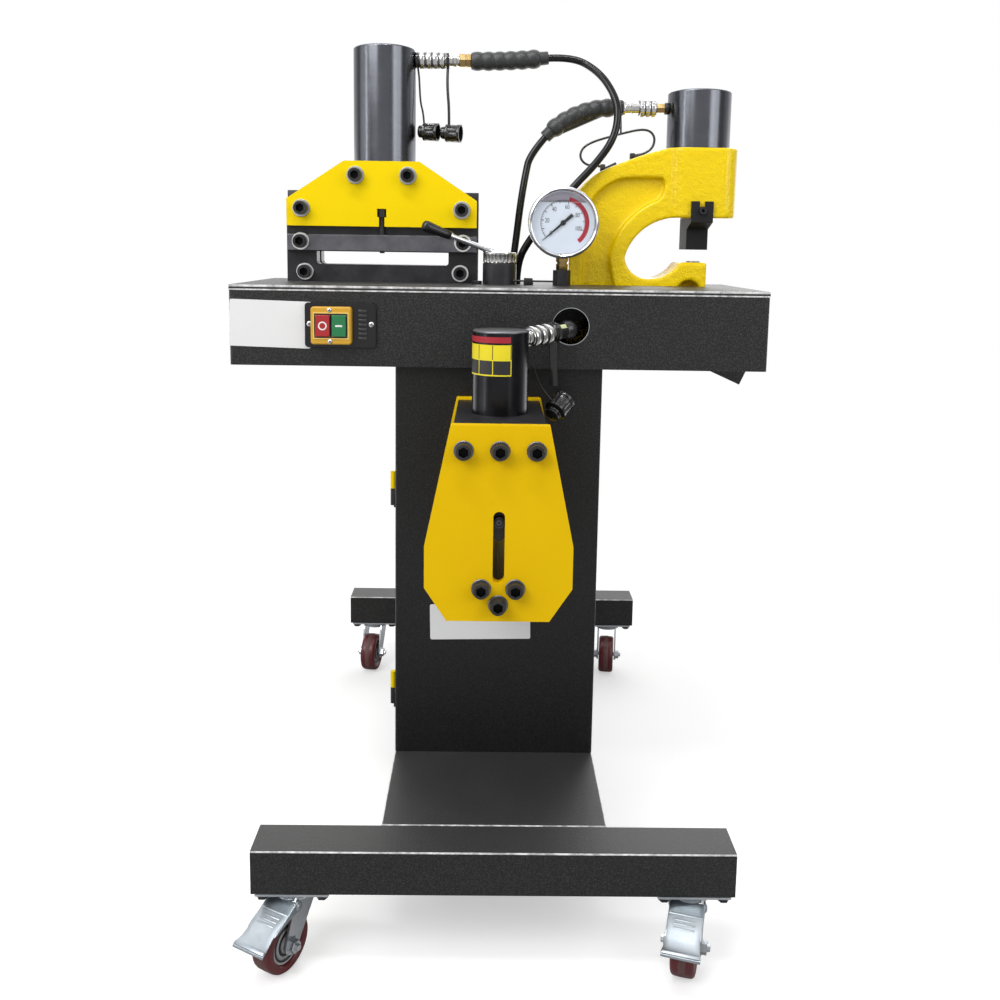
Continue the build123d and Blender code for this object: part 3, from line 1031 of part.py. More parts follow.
for x, z in BENDER_SCREWS:
    socket_screws.append(socket_screw(x, BENDER_FRONT, z, BENDER_SCREW_RADIUS, BENDER_SCREW_HEAD_RADIUS,
                                      BENDER_PLATE + BENDER_SCREW_GRIP, BENDER_WASHER_RADIUS,
                                      BENDER_WASHER))
    bender_front_plate -= pin_y(x, z, BENDER_FRONT - 1, BENDER_INNER + 1, BENDER_SCREW_RADIUS + HOLE_GAP)
    thread = pin_y(x, z, BENDER_INNER - 1, BENDER_INNER + BENDER_SCREW_GRIP + 1,
                   BENDER_SCREW_RADIUS + RUN_FIT)
    if z > BENDER_SHOULDER:
        bender_head_block -= thread
    else:
        bender_die -= thread
ram_half = BENDER_RAM_WIDTH / 2
nose_shoulder = BENDER_NOSE_Z + BENDER_NOSE_HEIGHT
ram_top = BENDER_NOSE_Z + BENDER_RAM_HEIGHT
nose_tan = BENDER_NOSE_RADIUS
ram_face = make_face([
    Line((-ram_half, ram_top), (-ram_half, nose_shoulder)),
    Line((-ram_half, nose_shoulder), (-nose_tan, BENDER_NOSE_Z + nose_tan * 0.5)),
    ThreePointArc((-nose_tan, BENDER_NOSE_Z + nose_tan * 0.5), (0, BENDER_NOSE_Z),
                  (nose_tan, BENDER_NOSE_Z + nose_tan * 0.5)),
    Line((nose_tan, BENDER_NOSE_Z + nose_tan * 0.5), (ram_half, nose_shoulder)),
    Line((ram_half, nose_shoulder), (ram_half, ram_top)),
    Line((ram_half, ram_top), (-ram_half, ram_top)),
])
bender_ram = prism_y(ram_face, BENDER_INNER + SLIDE_GAP, BENDER_OUTER - SLIDE_GAP)
bender_ram += post(0, BENDER_AXIS_Y, ram_top, ram_top + BENDER_ROD_LENGTH, BENDER_ROD_RADIUS)
bender_ram += pin_y(0, BENDER_GUIDE_Z, BENDER_FRONT - SLIDE_GAP, BENDER_INNER + SLIDE_GAP,
                    BENDER_GUIDE_RADIUS)
bender_ram += pin_y(0, BENDER_GUIDE_Z, BENDER_FRONT - SLIDE_GAP - BENDER_GUIDE_HEAD_HEIGHT,
                    BENDER_FRONT - SLIDE_GAP,
                    BENDER_GUIDE_HEAD_RADIUS)
BENDER_CYLINDER_TOP = block_top + BENDER_CYLINDER_HEIGHT
bender_cylinder = post(0, BENDER_AXIS_Y, block_top, BENDER_CYLINDER_TOP, BENDER_CYLINDER_DIAMETER / 2)
bender_cylinder = fillet(bender_cylinder.edges().group_by(Axis.Z)[-1], CYLINDER_ROUND)
bender_cylinder -= post(0, BENDER_AXIS_Y, block_top - 1, ram_top + BENDER_ROD_LENGTH + BENDER_BORE_DEPTH,
                        BENDER_ROD_RADIUS + RUN_FIT)
port_way = (Vector(HOSE_HOLE_X, TABLE_FRONT, APRON_HOLE_Z)
            - Vector(0, BENDER_AXIS_Y, BENDER_CYLINDER_TOP - BENDER_PORT_DROP)).normalized()
flat_way = Vector(port_way.X, port_way.Y, 0).normalized()
bender_port = (Vector(0, BENDER_AXIS_Y, BENDER_CYLINDER_TOP - BENDER_PORT_DROP)
               + flat_way * (BENDER_CYLINDER_DIAMETER / 2 + 1))
BENDER_PORT = tuple(bender_port)
bender_cylinder -= rod(tuple(bender_port - port_way * PORT_DEPTH), tuple(bender_port + port_way * 6),
                       PORT_RADIUS + RUN_FIT)

# Gauge, with its dial facing the front

gauge_z = TABLE_TOP + GAUGE_RISE
gauge_radius = GAUGE_DIAMETER / 2
gauge_front = GAUGE_Y - GAUGE_DEPTH / 2
case_face = outline((0, 0), (gauge_radius, 0), (gauge_radius, GAUGE_DEPTH), (0, GAUGE_DEPTH))
case_face = fillet(case_face.vertices().group_by(Axis.X)[-1], GAUGE_ROUND)
gauge_place = Pos(GAUGE_X, gauge_front, gauge_z)
gauge_case = gauge_place * revolve(case_face, Axis.Y)
recess_back = gauge_front + GAUGE_RECESS_DEPTH
gauge_case -= pin_y(GAUGE_X, gauge_z, gauge_front - 1, recess_back, GAUGE_RECESS_RADIUS)
gauge_case += pin_y(GAUGE_X, gauge_z, recess_back - SPINDLE_LENGTH, recess_back, SPINDLE_RADIUS)
nut_top = TABLE_TOP + GAUGE_NUT_HEIGHT
gauge_case += post(GAUGE_X, GAUGE_Y, nut_top, gauge_z - GAUGE_RECESS_RADIUS, STEM_RADIUS)
gauge_lens = pin_y(GAUGE_X, gauge_z, gauge_front + LENS_INSET, gauge_front + LENS_INSET + LENS_SHEET,
                   GAUGE_RECESS_RADIUS - RUN_FIT)
pointer_back = recess_back - SPINDLE_LENGTH / 2
pointer_face = outline((-POINTER_WIDTH / 2, -POINTER_TAIL), (POINTER_WIDTH / 2, -POINTER_TAIL),
                       (POINTER_WIDTH / 2, 0), (POINTER_WIDTH / 6, POINTER_LENGTH),
                       (-POINTER_WIDTH / 6, POINTER_LENGTH), (-POINTER_WIDTH / 2, 0))
gauge_pointer = prism_y(Rot(0, 0, POINTER_ZERO) * pointer_face, -POINTER_SHEET, 0)
gauge_pointer += pin_y(0, 0, -2 * POINTER_SHEET, POINTER_SHEET, POINTER_HUB_RADIUS)
gauge_pointer -= pin_y(0, 0, -3 * POINTER_SHEET, 2 * POINTER_SHEET, SPINDLE_RADIUS + RUN_FIT)
gauge_pointer = Pos(GAUGE_X, pointer_back, gauge_z) * gauge_pointer
gauge_nut = extrude(Pos(GAUGE_X, GAUGE_Y, TABLE_TOP) * RegularPolygon(GAUGE_NUT_FLATS / 2, 6,
                                                                      major_radius=False),
                    GAUGE_NUT_HEIGHT)
gauge_nut += post(GAUGE_X, GAUGE_Y, TABLE_UNDER, TABLE_TOP, GAUGE_PIPE_RADIUS)

# Direction valve, its manifold under the table top and its lever

valve_top = TABLE_TOP + VALVE_HEIGHT
valve_body = post(0, VALVE_Y, TABLE_TOP, valve_top, VALVE_RADIUS)
valve_body = chamfer(valve_body.edges().group_by(Axis.Z)[-1], VALVE_ROUND)
valve_body += post(0, VALVE_Y, TABLE_UNDER, TABLE_TOP, NECK_RADIUS)
valve_body += post(0, VALVE_Y, valve_top, valve_top + COLLAR_HEIGHT - COLLAR_CAP, VALVE_SPINDLE_RADIUS)
manifold_low = TABLE_UNDER - MANIFOLD_HEIGHT
manifold = block(-MANIFOLD_LEFT, MANIFOLD_RIGHT, MANIFOLD_FRONT, MANIFOLD_MID, manifold_low, TABLE_UNDER)
manifold += block(-MANIFOLD_LEFT, MANIFOLD_REAR_HALF, MANIFOLD_MID, MANIFOLD_BACK, manifold_low,
                  TABLE_UNDER)
for bx, by in MANIFOLD_BOLTS:
    manifold -= post(bx, by, TABLE_UNDER - BOLT_GRIP, TABLE_UNDER + 1, BOLT_RADIUS + RUN_FIT)
    hex_bolts.append(hex_bolt(bx, by, TABLE_TOP, 1))

collar_low = valve_top + SLIDE_GAP
collar_top = valve_top + COLLAR_HEIGHT
collar = post(0, VALVE_Y, collar_low, collar_top, VALVE_RADIUS)
for k in range(COLLAR_FLUTES):
    turn = radians(360 * (k + 0.5) / COLLAR_FLUTES)
    collar -= post(VALVE_RADIUS * cos(turn), VALVE_Y + VALVE_RADIUS * sin(turn), collar_low - 1,
                   collar_top - COLLAR_CAP,
                   COLLAR_FLUTE_RADIUS)
collar -= post(0, VALVE_Y, collar_low - 1, collar_top - COLLAR_CAP + SLIDE_GAP,
               VALVE_SPINDLE_RADIUS + RUN_FIT)
lever_way = Vector(cos(radians(LEVER_AZIMUTH)) * cos(radians(LEVER_RISE)),
                   sin(radians(LEVER_AZIMUTH)) * cos(radians(LEVER_RISE)), sin(radians(LEVER_RISE)))
lever_root = Vector(0, VALVE_Y,
                    collar_top - COLLAR_CAP) + lever_way * (VALVE_SPINDLE_RADIUS + LEVER_ROD_RADIUS + 2)
lever_end = lever_root + lever_way * LEVER_REACH
lever_rod = extrude(Plane(origin=lever_root, z_dir=lever_way) * Circle(LEVER_ROD_RADIUS), LEVER_REACH)
grip_root = lever_end - lever_way * 2
knob = loft([Plane(origin=grip_root, z_dir=lever_way) * Circle(KNOB_NECK_RADIUS),
             Plane(origin=grip_root + lever_way * KNOB_LENGTH, z_dir=lever_way) * Circle(KNOB_RADIUS)])
knob = fillet(knob.edges().sort_by(Axis.X)[0], KNOB_RADIUS / 3)
valve_lever = collar + lever_rod + knob

# Couplers, guards and hoses


def over_table(points):
    return [(x, y, TABLE_TOP + rise) for x, y, rise in points]


def ribbed_guard(place_at, length, bore_end):
    """Sleeve of bead ribs: a ruled loft through four circles a rib along place_at(s)."""
    pitch = (length - GUARD_CUFF) / GUARD_RIBS
    sections = [place_at(0) * Circle(GUARD_WAIST)]
    for k in range(GUARD_RIBS):
        for share, radius in ((0.15, GUARD_WAIST), (0.35, GUARD_RADIUS), (0.65, GUARD_RADIUS),
                              (0.85, GUARD_WAIST)):
            sections.append(place_at((k + share) * pitch) * Circle(radius))
    sections.append(place_at(length - GUARD_CUFF + 2) * Circle(GUARD_CUFF_RADIUS))
    sections.append(place_at(length) * Circle(GUARD_CUFF_RADIUS))
    body = loft(sections, ruled=True)
    mouth = place_at(length)
    return body - extrude(Plane(origin=mouth.origin - mouth.z_dir * bore_end, x_dir=mouth.x_dir,
                                z_dir=mouth.z_dir)
                          * Circle(HOSE_RADIUS + SLIDE_GAP), bore_end + 4)


def guard_line(start, side, turn_up):
    """Places along a guard that leaves its coupler along side * X and turns up on its way."""
    bend_radius = GUARD_LENGTH / radians(turn_up)

    def place(s):
        turn = s / bend_radius
        at = start + Vector(side * bend_radius * sin(turn), 0, bend_radius * (1 - cos(turn)))
        return Plane(origin=at, x_dir=(0, 1, 0), z_dir=(side * cos(turn), 0, sin(turn)))

    return place


stub = [(PORT_DEPTH, PORT_RADIUS)]
coupler_cutter = stack(port_in, (1, 0, 0), stub + CUTTER_COUPLER_STEPS)
cutter_steps = sum(length for length, radius in CUTTER_COUPLER_STEPS)
cutter_line = guard_line(Vector(*CUTTER_PORT) + Vector(cutter_steps, 0, 0), 1, CUTTER_GUARD_TURN)
guard_cutter = ribbed_guard(cutter_line, GUARD_LENGTH, GUARD_SOCKET)

coupler_punch = stack((PUNCH_PORT[0] + PORT_DEPTH, PUNCH_Y, PUNCH_PORT[2]), (-1, 0, 0),
                      stub + PUNCH_COUPLER_STEPS)
punch_steps = sum(length for length, radius in PUNCH_COUPLER_STEPS)
punch_line = guard_line(Vector(*PUNCH_PORT) - Vector(punch_steps, 0, 0), -1, PUNCH_GUARD_TURN)
guard_punch = ribbed_guard(punch_line, GUARD_LENGTH, GUARD_SOCKET)

coupler_bender = stack(tuple(bender_port - port_way * PORT_DEPTH), tuple(port_way),
                       stub + BENDER_COUPLER_STEPS)
bender_steps = sum(length for length, radius in BENDER_COUPLER_STEPS)
ferrule_at = bender_port + port_way * bender_steps
ferrule_end = ferrule_at + port_way * BENDER_FERRULE_LENGTH
coupler_bender += loft([Plane(origin=ferrule_at, z_dir=port_way) * Circle(BENDER_FERRULE_RADIUS),
                        Plane(origin=ferrule_end, z_dir=port_way) * Circle(HOSE_RADIUS + CAP_WALL)])

cutter_mouth = cutter_line(GUARD_LENGTH)
cutter_seat = cutter_mouth.origin - cutter_mouth.z_dir * GUARD_SOCKET
punch_mouth = punch_line(GUARD_LENGTH)
punch_seat = punch_mouth.origin - punch_mouth.z_dir * GUARD_SOCKET
CUTTER_HOSE_POINTS = [tuple(cutter_seat), tuple(cutter_seat + cutter_mouth.z_dir * HOSE_LEAD),
                      *over_table(CUTTER_HOSE_RUN),
                      (*HOSE_CUTTER_FOOT, TABLE_UNDER + HOSE_RISE), (*HOSE_CUTTER_FOOT, TABLE_UNDER)]
PUNCH_HOSE_POINTS = [tuple(punch_seat), tuple(punch_seat + punch_mouth.z_dir * HOSE_LEAD),
                     *over_table(PUNCH_HOSE_RUN),
                     (*HOSE_PUNCH_FOOT, TABLE_UNDER + HOSE_RISE), (*HOSE_PUNCH_FOOT, TABLE_UNDER)]
BENDER_HOSE_POINTS = [tuple(ferrule_end), tuple(ferrule_end + port_way * HOSE_RISE),
                      (BENDER_HOSE_X, BENDER_HOSE_TURN_Y, TABLE_TOP - BENDER_HOSE_DROP),
                      (BENDER_HOSE_X, MANIFOLD_FRONT, TABLE_TOP - BENDER_HOSE_DROP)]


def hose(name, points):
    spots = [Vector(*p) for p in points]
    runs = [b - a for a, b in zip(spots, spots[1:])]
    radii = []
    for a, b in zip(runs, runs[1:]):
        half_turn = radians(a.get_angle(b)) / 2
        radii.append(0.45 * min(a.length, b.length) / tan(half_turn))
    path = FilletPolyline(*spots, radius=radii)
    tube = sweep(Plane(origin=spots[0], z_dir=runs[0]) * Circle(HOSE_RADIUS), path)
    print(name, "length", round(path.length), "smallest bend", round(min(radii)))
    return tube


hose_cutter = hose("hose_cutter", CUTTER_HOSE_POINTS)
hose_punch = hose("hose_punch", PUNCH_HOSE_POINTS)
hose_bender = hose("hose_bender", BENDER_HOSE_POINTS)


def cap_ring(centre, way, radius):
    """Ring that holds a strap round one step of a coupler."""
    axis = Vector(*way).normalized()
    foot = Vector(*centre) - axis * (CAP_RING_WIDTH / 2)
    inner = radius + SLIDE_GAP
    ring = extrude(Plane(origin=foot, z_dir=axis) * Circle(inner + CAP_RING), CAP_RING_WIDTH)
    return ring - extrude(Plane(origin=foot - axis, z_dir=axis) * Circle(inner), CAP_RING_WIDTH + 2)


def cap_cup(centre, way):
    """Cup-shaped cap lying along a direction, with its mouth at the far end."""
    axis = Vector(*way).normalized()
    foot = Vector(*centre) - axis * (CAP_HEIGHT / 2)
    cup = extrude(Plane(origin=foot, z_dir=axis) * Circle(CAP_RADIUS), CAP_HEIGHT)
    room = CAP_HEIGHT - CAP_WALL
    return cup - extrude(Plane(origin=foot + axis * CAP_WALL, z_dir=axis) * Circle(CAP_RADIUS - CAP_WALL),
                         room + 1)


def dust_cap(centre, way, radius, cup_at, cup_way):
    """Ring round a coupler, the strap that hangs from it and the cap on the strap."""
    under = Vector(*centre) - Vector(0, 0, radius + SLIDE_GAP + CAP_RING / 2)
    over = Vector(*cup_at) + Vector(0, 0, CAP_RADIUS - CAP_WALL / 2)
    return cap_ring(centre, way, radius) + rod(tuple(under), tuple(over),
                                               CAP_STRAP_RADIUS) + cap_cup(cup_at, cup_way)


def ring_place(start, way, steps, index):
    """Middle of a strap ring at the near end of one step of a coupler, and that step's radius."""
    before = sum(length for length, radius in steps[:index])
    return Vector(*start) + Vector(*way) * (before + CAP_RING_WIDTH / 2), steps[index][1]


dust_caps = []
for index, cup_at in zip((0, 2), over_table(CUTTER_CAPS)):
    at, radius = ring_place(CUTTER_PORT, (1, 0, 0), CUTTER_COUPLER_STEPS, index)
    dust_caps.append(dust_cap(tuple(at), (1, 0, 0), radius, cup_at, CUTTER_CAP_WAY))
collar_at = ferrule_at + port_way * CAP_RING_WIDTH
bender_cap = (*BENDER_CAP, APRON_HOLE_Z - BENDER_CAP_DROP)
dust_caps.append(dust_cap(tuple(collar_at), tuple(port_way), BENDER_FERRULE_RADIUS, bender_cap,
                          BENDER_CAP_WAY))
at, radius = ring_place(PUNCH_PORT, (-1, 0, 0), PUNCH_COUPLER_STEPS, 5)
tether = Spline(*over_table([(x, PUNCH_Y, rise) for x, rise in PUNCH_TETHER]))
string = cap_ring(tuple(at), (-1, 0, 0), radius)
string += sweep(Plane(origin=tether @ 0, z_dir=tether % 0) * Circle(CAP_STRAP_RADIUS), tether)
hang = at - Vector(0, 0, radius + SLIDE_GAP + CAP_RING / 2)
string += rod(tuple(hang), (at.X, PUNCH_Y, TABLE_TOP + PUNCH_TETHER_MEET), CAP_STRAP_RADIUS)
dust_caps.append(string)

# Every node, then the shift that centres the model on the box of its rigid pieces

NODES = {
    "base_beams": base_beams, "base_spine": base_spine, "caster_plates": caster_plates, "column": column,
    "column_door": column_door, "door_hinges": door_hinges, "door_latch": door_latch,
         "oil_tank": [oil_tank, filler_cap],
    "motor": motor, "table": table, "switch_plate": switch_plate, "switch_bezel": switch_bezel,
    "stop_button": stop_button, "start_button": start_button, "slug_chute": slug_chute,
    "cutter_body": cutter_body, "cutter_head_plates": cutter_head_plates,
         "cutter_hold_bar": cutter_hold_bar,
    "cutter_hold_screw": cutter_hold_screw, "cutter_blade": cutter_blade,
         "cutter_bed_blade": cutter_bed_blade,
    "cutter_cylinder": cutter_cylinder, "punch_frame": punch_frame, "punch_die": punch_die,
         "punch_ram": punch_ram,
    "punch_cylinder": punch_cylinder, "punch_stripper": punch_stripper,
         "bender_front_plate": bender_front_plate,
    "bender_rear_plate": bender_rear_plate, "bender_head_block": bender_head_block,
         "bender_die": bender_die,
    "bender_ram": bender_ram, "bender_cylinder": bender_cylinder, "gauge_case": gauge_case,
         "gauge_lens": gauge_lens,
    "gauge_pointer": gauge_pointer, "gauge_nut": gauge_nut, "valve_body": [valve_body, manifold],
    "valve_lever": valve_lever, "socket_screws": socket_screws, "hex_bolts": hex_bolts,
    "coupler_cutter": coupler_cutter, "coupler_punch": coupler_punch, "coupler_bender": coupler_bender,
    "guard_cutter": guard_cutter, "guard_punch": guard_punch, "hose_cutter": hose_cutter,
    "hose_punch": hose_punch, "hose_bender": hose_bender, "dust_caps": dust_caps,
}
NODES.update(caster_parts)
CORDS = ("coupler_", "guard_", "hose_", "dust_")


def solids_of(shape):
    pieces = shape if isinstance(shape, list) else [shape]
    return [solid for piece in pieces for solid in piece.solids()]


rigid = [solid for node, shape in NODES.items() if not node.startswith(CORDS) for solid in solids_of(shape)]
box = Compound(rigid).bounding_box()
ORIGIN_X = (box.min.X + box.max.X) / 2
ORIGIN_Y = (box.min.Y + box.max.Y) / 2
print("origin", round(ORIGIN_X, 3), round(ORIGIN_Y, 3), "box", box.size)

os.makedirs("parts", exist_ok=True)
for node, shape in NODES.items():
    moved = [Pos(-ORIGIN_X, -ORIGIN_Y, 0) * solid for solid in solids_of(shape)]
    export_step(moved[0] if len(moved) == 1 else Compound(moved), "parts/" + node + ".step")
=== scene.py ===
# %% [markdown]
# # A busbar machine on wheels
# The machine is a black steel bench on four casters. A cutter stands on the left of its table and a punch
# on the right, a bender hangs on the front of the column, and three oil hoses feed them through a valve.
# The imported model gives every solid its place, so this lesson only adds looks: finishes, rounded edges,
# rubber, print and small hardware.

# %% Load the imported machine
import json
from math import atan2, cos, pi, radians, sin

import bmesh
import bpy
from mathutils import Matrix, Vector

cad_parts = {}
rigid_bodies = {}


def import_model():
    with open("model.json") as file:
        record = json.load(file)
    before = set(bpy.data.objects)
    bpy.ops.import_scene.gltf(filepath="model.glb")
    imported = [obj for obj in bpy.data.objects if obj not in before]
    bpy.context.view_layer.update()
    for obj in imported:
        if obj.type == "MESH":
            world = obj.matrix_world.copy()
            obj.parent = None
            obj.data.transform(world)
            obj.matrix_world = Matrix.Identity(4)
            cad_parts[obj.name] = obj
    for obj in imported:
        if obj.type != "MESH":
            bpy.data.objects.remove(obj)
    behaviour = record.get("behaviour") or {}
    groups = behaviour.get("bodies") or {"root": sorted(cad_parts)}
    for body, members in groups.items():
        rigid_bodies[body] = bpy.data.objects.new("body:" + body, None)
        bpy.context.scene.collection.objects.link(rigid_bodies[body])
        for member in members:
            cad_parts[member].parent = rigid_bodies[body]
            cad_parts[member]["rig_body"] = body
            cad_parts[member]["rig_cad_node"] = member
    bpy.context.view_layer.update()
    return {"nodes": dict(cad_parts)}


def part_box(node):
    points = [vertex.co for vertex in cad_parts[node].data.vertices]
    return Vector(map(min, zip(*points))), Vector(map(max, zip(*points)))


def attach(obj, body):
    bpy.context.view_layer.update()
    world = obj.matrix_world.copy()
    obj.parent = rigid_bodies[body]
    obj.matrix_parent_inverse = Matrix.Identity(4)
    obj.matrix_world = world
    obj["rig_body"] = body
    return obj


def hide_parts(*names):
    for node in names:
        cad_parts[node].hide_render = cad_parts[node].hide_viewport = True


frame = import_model()
NODES = frame["nodes"]
MM = 0.001
beam_low, beam_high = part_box("base_beams")
MIDDLE = Vector(((beam_low.x + beam_high.x) / 2, beam_low.y, 0))


def spot(x, y, z):
    """A point of the frame from millimetres: across and back from the middle of the front beam, and up."""
    return MIDDLE + Vector((x, y, z)) * MM


# %% [markdown]
# ## Camera
# The photograph was taken from the operator's side, a little above the table and tipped down slightly.
# The station and the angles were fitted to the edges of the base, column and table. The picture's middle
# lies below the point the lens looks at, and a small shift of the lens gives that without turning it.

# %% Camera at the photograph's station
STATION = spot(-16.4, -1137.3, 894.7)
TIP, TURN, LEAN = 0.1406, 0.0130, -0.0152
bpy.ops.object.camera_add(location=STATION)
camera = bpy.context.object
ahead = Vector((sin(TURN) * cos(TIP), cos(TURN) * cos(TIP), -sin(TIP)))
level = Vector((cos(TURN), -sin(TURN), 0))
under = ahead.cross(level)
right = cos(LEAN) * level + sin(LEAN) * under
below = cos(LEAN) * under - sin(LEAN) * level
camera.matrix_world = Matrix.Translation(STATION) @ Matrix((right, -below, -ahead)).transposed().to_4x4()
camera.data.sensor_width = 36
camera.data.lens = 36
camera.data.shift_y = -0.1102
camera.data.clip_start = 0.05
bpy.context.scene.camera = camera
print("camera", tuple(round(v, 3) for v in camera.location))

# %% [markdown]
# ## Sums on sockets
# A finish is a small calculation: a mask times a colour, a noise added to a roughness. Wiring Math nodes
# by hand hides that sum. A class that stands for a socket and knows plus, minus and times lets the sum be
# written as it is thought, and each operator adds the Math node it needs.


# %% Sockets that take part in sums
class Wire:
    """A node's output that can be used in a Python sum."""

    def __init__(self, socket):
        self.socket = socket
        self.tree = socket.id_data

    def maths(self, operation, first, second=0.0):
        node = self.tree.nodes.new("ShaderNodeMath")
        node.operation = operation
        for entry, value in zip(node.inputs, (first, second)):
            if isinstance(value, Wire):
                self.tree.links.new(value.socket, entry)
            else:
                entry.default_value = value
        return Wire(node.outputs[0])

    def __add__(self, other):
        return self.maths("ADD", self, other)

    def __sub__(self, other):
        return self.maths("SUBTRACT", self, other)

    def __rsub__(self, other):
        return self.maths("SUBTRACT", other, self)

    def __mul__(self, other):
        return self.maths("MULTIPLY", self, other)

    __radd__ = __add__
    __rmul__ = __mul__


class Tree:
    """A node tree with short words for the nodes used here."""

    def __init__(self, tree):
        self.tree = tree

    def feed(self, entry, value):
        if isinstance(value, Wire):
            self.tree.links.new(value.socket, entry)
        else:
            entry.default_value = value

    def node(self, kind, settings, inputs, output=0):
        """Adds a node: first its settings, then the values or links of its sockets."""
        node = self.tree.nodes.new(kind)
        for key, value in settings.items():
            if key == "stops":
                ramp = node.color_ramp
                while len(ramp.elements) < len(value):
                    ramp.elements.new(0.5)
                for stop, (place, colour) in zip(ramp.elements, value):
                    stop.position = place
                    stop.color = colour
            else:
                setattr(node, key, value)
        for key, value in inputs.items():
            self.feed(node.inputs[key], value)
        return Wire(node.outputs[output])

    def place(self):
        return self.node("ShaderNodeTexCoord", {}, {}, "Object")

    def noise(self, scale, detail=2.0, rough=0.5, at=None):
        inputs = {"Vector": at or self.place(), "Scale": scale, "Detail": detail, "Roughness": rough}
        return self.node("ShaderNodeTexNoise", {}, inputs)

    def ramp(self, value, *stops):
        """A number that follows grey stops along another number."""
        grey = [(place, (level, level, level, 1)) for place, level in stops]
        return self.node("ShaderNodeValToRGB", {"stops": grey}, {"Fac": value})

    def mix(self, share, first, second):
        """A colour between two others."""
        return self.node("ShaderNodeMix", {"data_type": "RGBA"}, {0: share, 6: first, 7: second}, 2)


class Finish(Tree):
    """A material in the making: its tree, and the Principled shader that ends it."""

    def __init__(self, name, **fixed):
        self.material = bpy.data.materials.new(name)
        self.material.use_nodes = True
        super().__init__(self.material.node_tree)
        self.shader = self.tree.nodes["Principled BSDF"]
        for key, value in fixed.items():
            self.shader.inputs[key.replace("_", " ").title().replace("Ior", "IOR")].default_value = value

    def colour(self, value):
        self.feed(self.shader.inputs["Base Color"], value)

    def rough(self, value):
        self.feed(self.shader.inputs["Roughness"], value)

    def bump(self, height, strength, depth):
        normal = self.node("ShaderNodeBump", {},
                           {"Height": height, "Strength": strength, "Distance": depth})
        self.feed(self.shader.inputs["Normal"], normal)


def rgb(red, green, blue):
    return (red, green, blue, 1.0)


print("sums on sockets ready")

# %% [markdown]
# ## Floor and surroundings
# A plain pale floor holds the shadow and fades out to white with the distance from the machine, so that
# no horizon line cuts the picture. The surroundings are a white tent. Polished steel shows such a tent as
# bright panels with darker seams between them, and the seams are what makes a cylinder look round.

# %% Pale floor that fades into white
bpy.ops.object.select_all(action="DESELECT")
bpy.ops.mesh.primitive_circle_add(vertices=128, radius=4.0, fill_type="NGON", location=(0, 0, 0))
floor = bpy.context.object
floor.name = "pale_floor"
pale = Finish("pale_floor", roughness=0.8, specular_ior_level=0.2, emission_strength=1.0)
watched = pale.node("ShaderNodeLightPath", {}, {}, "Is Camera Ray")
pale.colour(pale.mix(watched, rgb(0.5, 0.5, 0.5), rgb(0.75, 0.75, 0.75)))
pale.feed(pale.shader.inputs["Emission Color"], pale.mix(watched, rgb(0, 0, 0), rgb(0.45, 0.45, 0.45)))
far = pale.node("ShaderNodeVectorMath", {"operation": "LENGTH"}, {0: pale.place()}, "Value")
fade = pale.ramp(far * 0.25, (0.16, 0.0), (0.36, 1.0))
clear = pale.node("ShaderNodeBsdfTransparent", {}, {})
blend = pale.node("ShaderNodeMixShader", {}, {0: fade, 1: Wire(pale.shader.outputs[0]), 2: clear})
pale.feed(pale.tree.nodes["Material Output"].inputs["Surface"], blend)
floor.data.materials.append(pale.material)
print("floor laid")

# %% Tent of bright panels
world = bpy.data.worlds.new("white_tent")
bpy.context.scene.world = world
world.use_nodes = True
tent = Tree(world.node_tree)
gaze = tent.place()
flat_gaze = tent.node("ShaderNodeVectorMath", {"operation": "MULTIPLY"}, {0: gaze, 1: (1, 1, 0)})
flat_gaze = tent.node("ShaderNodeVectorMath", {"operation": "NORMALIZE"}, {0: flat_gaze})


def panel(azimuth, half, soft):
    """A tall bright panel: azimuth from the front towards the right, half its width, and soft edge."""
    way = (sin(radians(azimuth)), -cos(radians(azimuth)), 0)
    reach = tent.node("ShaderNodeVectorMath", {"operation": "DOT_PRODUCT"}, {0: flat_gaze, 1: way}, "Value")
    limits = {"Value": reach, "From Min": cos(radians(half + soft)), "From Max": cos(radians(half))}
    return tent.node("ShaderNodeMapRange", {}, limits)


height = tent.node("ShaderNodeSeparateXYZ", {}, {0: gaze}, 2)
overhead = tent.ramp(height, (0.45, 0.0), (0.75, 1.0))
horizon = tent.ramp(height, (0.04, 1.0), (0.1, 0.0))
lofty = tent.ramp(height, (0.25, 0.0), (0.45, 1.0))
glow = 0.24 + 0.4 * panel(-8, 26, 18) + 1.0 * panel(-75, 12, 15) + 0.75 * panel(40, 3, 7)
glow = glow + 0.3 * panel(118, 18, 16) + 8.0 * panel(-66, 0.6, 0.8) + 0.6 * overhead
glow = glow + panel(180, 50, 25) * (0.5 + 1.5 * horizon + 0.6 * lofty)
path = world.node_tree.nodes.new("ShaderNodeLightPath")
mirrored = Wire(path.outputs["Is Glossy Ray"])
looked = Wire(path.outputs["Is Camera Ray"]) + Wire(path.outputs["Is Transmission Ray"])
looked = looked.maths("MINIMUM", looked, 1.0)
strength = 0.5 * (1.0 - mirrored) * (1.0 - looked) + mirrored * (1.0 - looked) * glow + looked
backdrop = world.node_tree.nodes["Background"]
tent.feed(backdrop.inputs["Strength"], strength)
backdrop.inputs["Color"].default_value = rgb(1, 1, 1)
bpy.context.scene.view_settings.view_transform = "Standard"
print("tent hung")
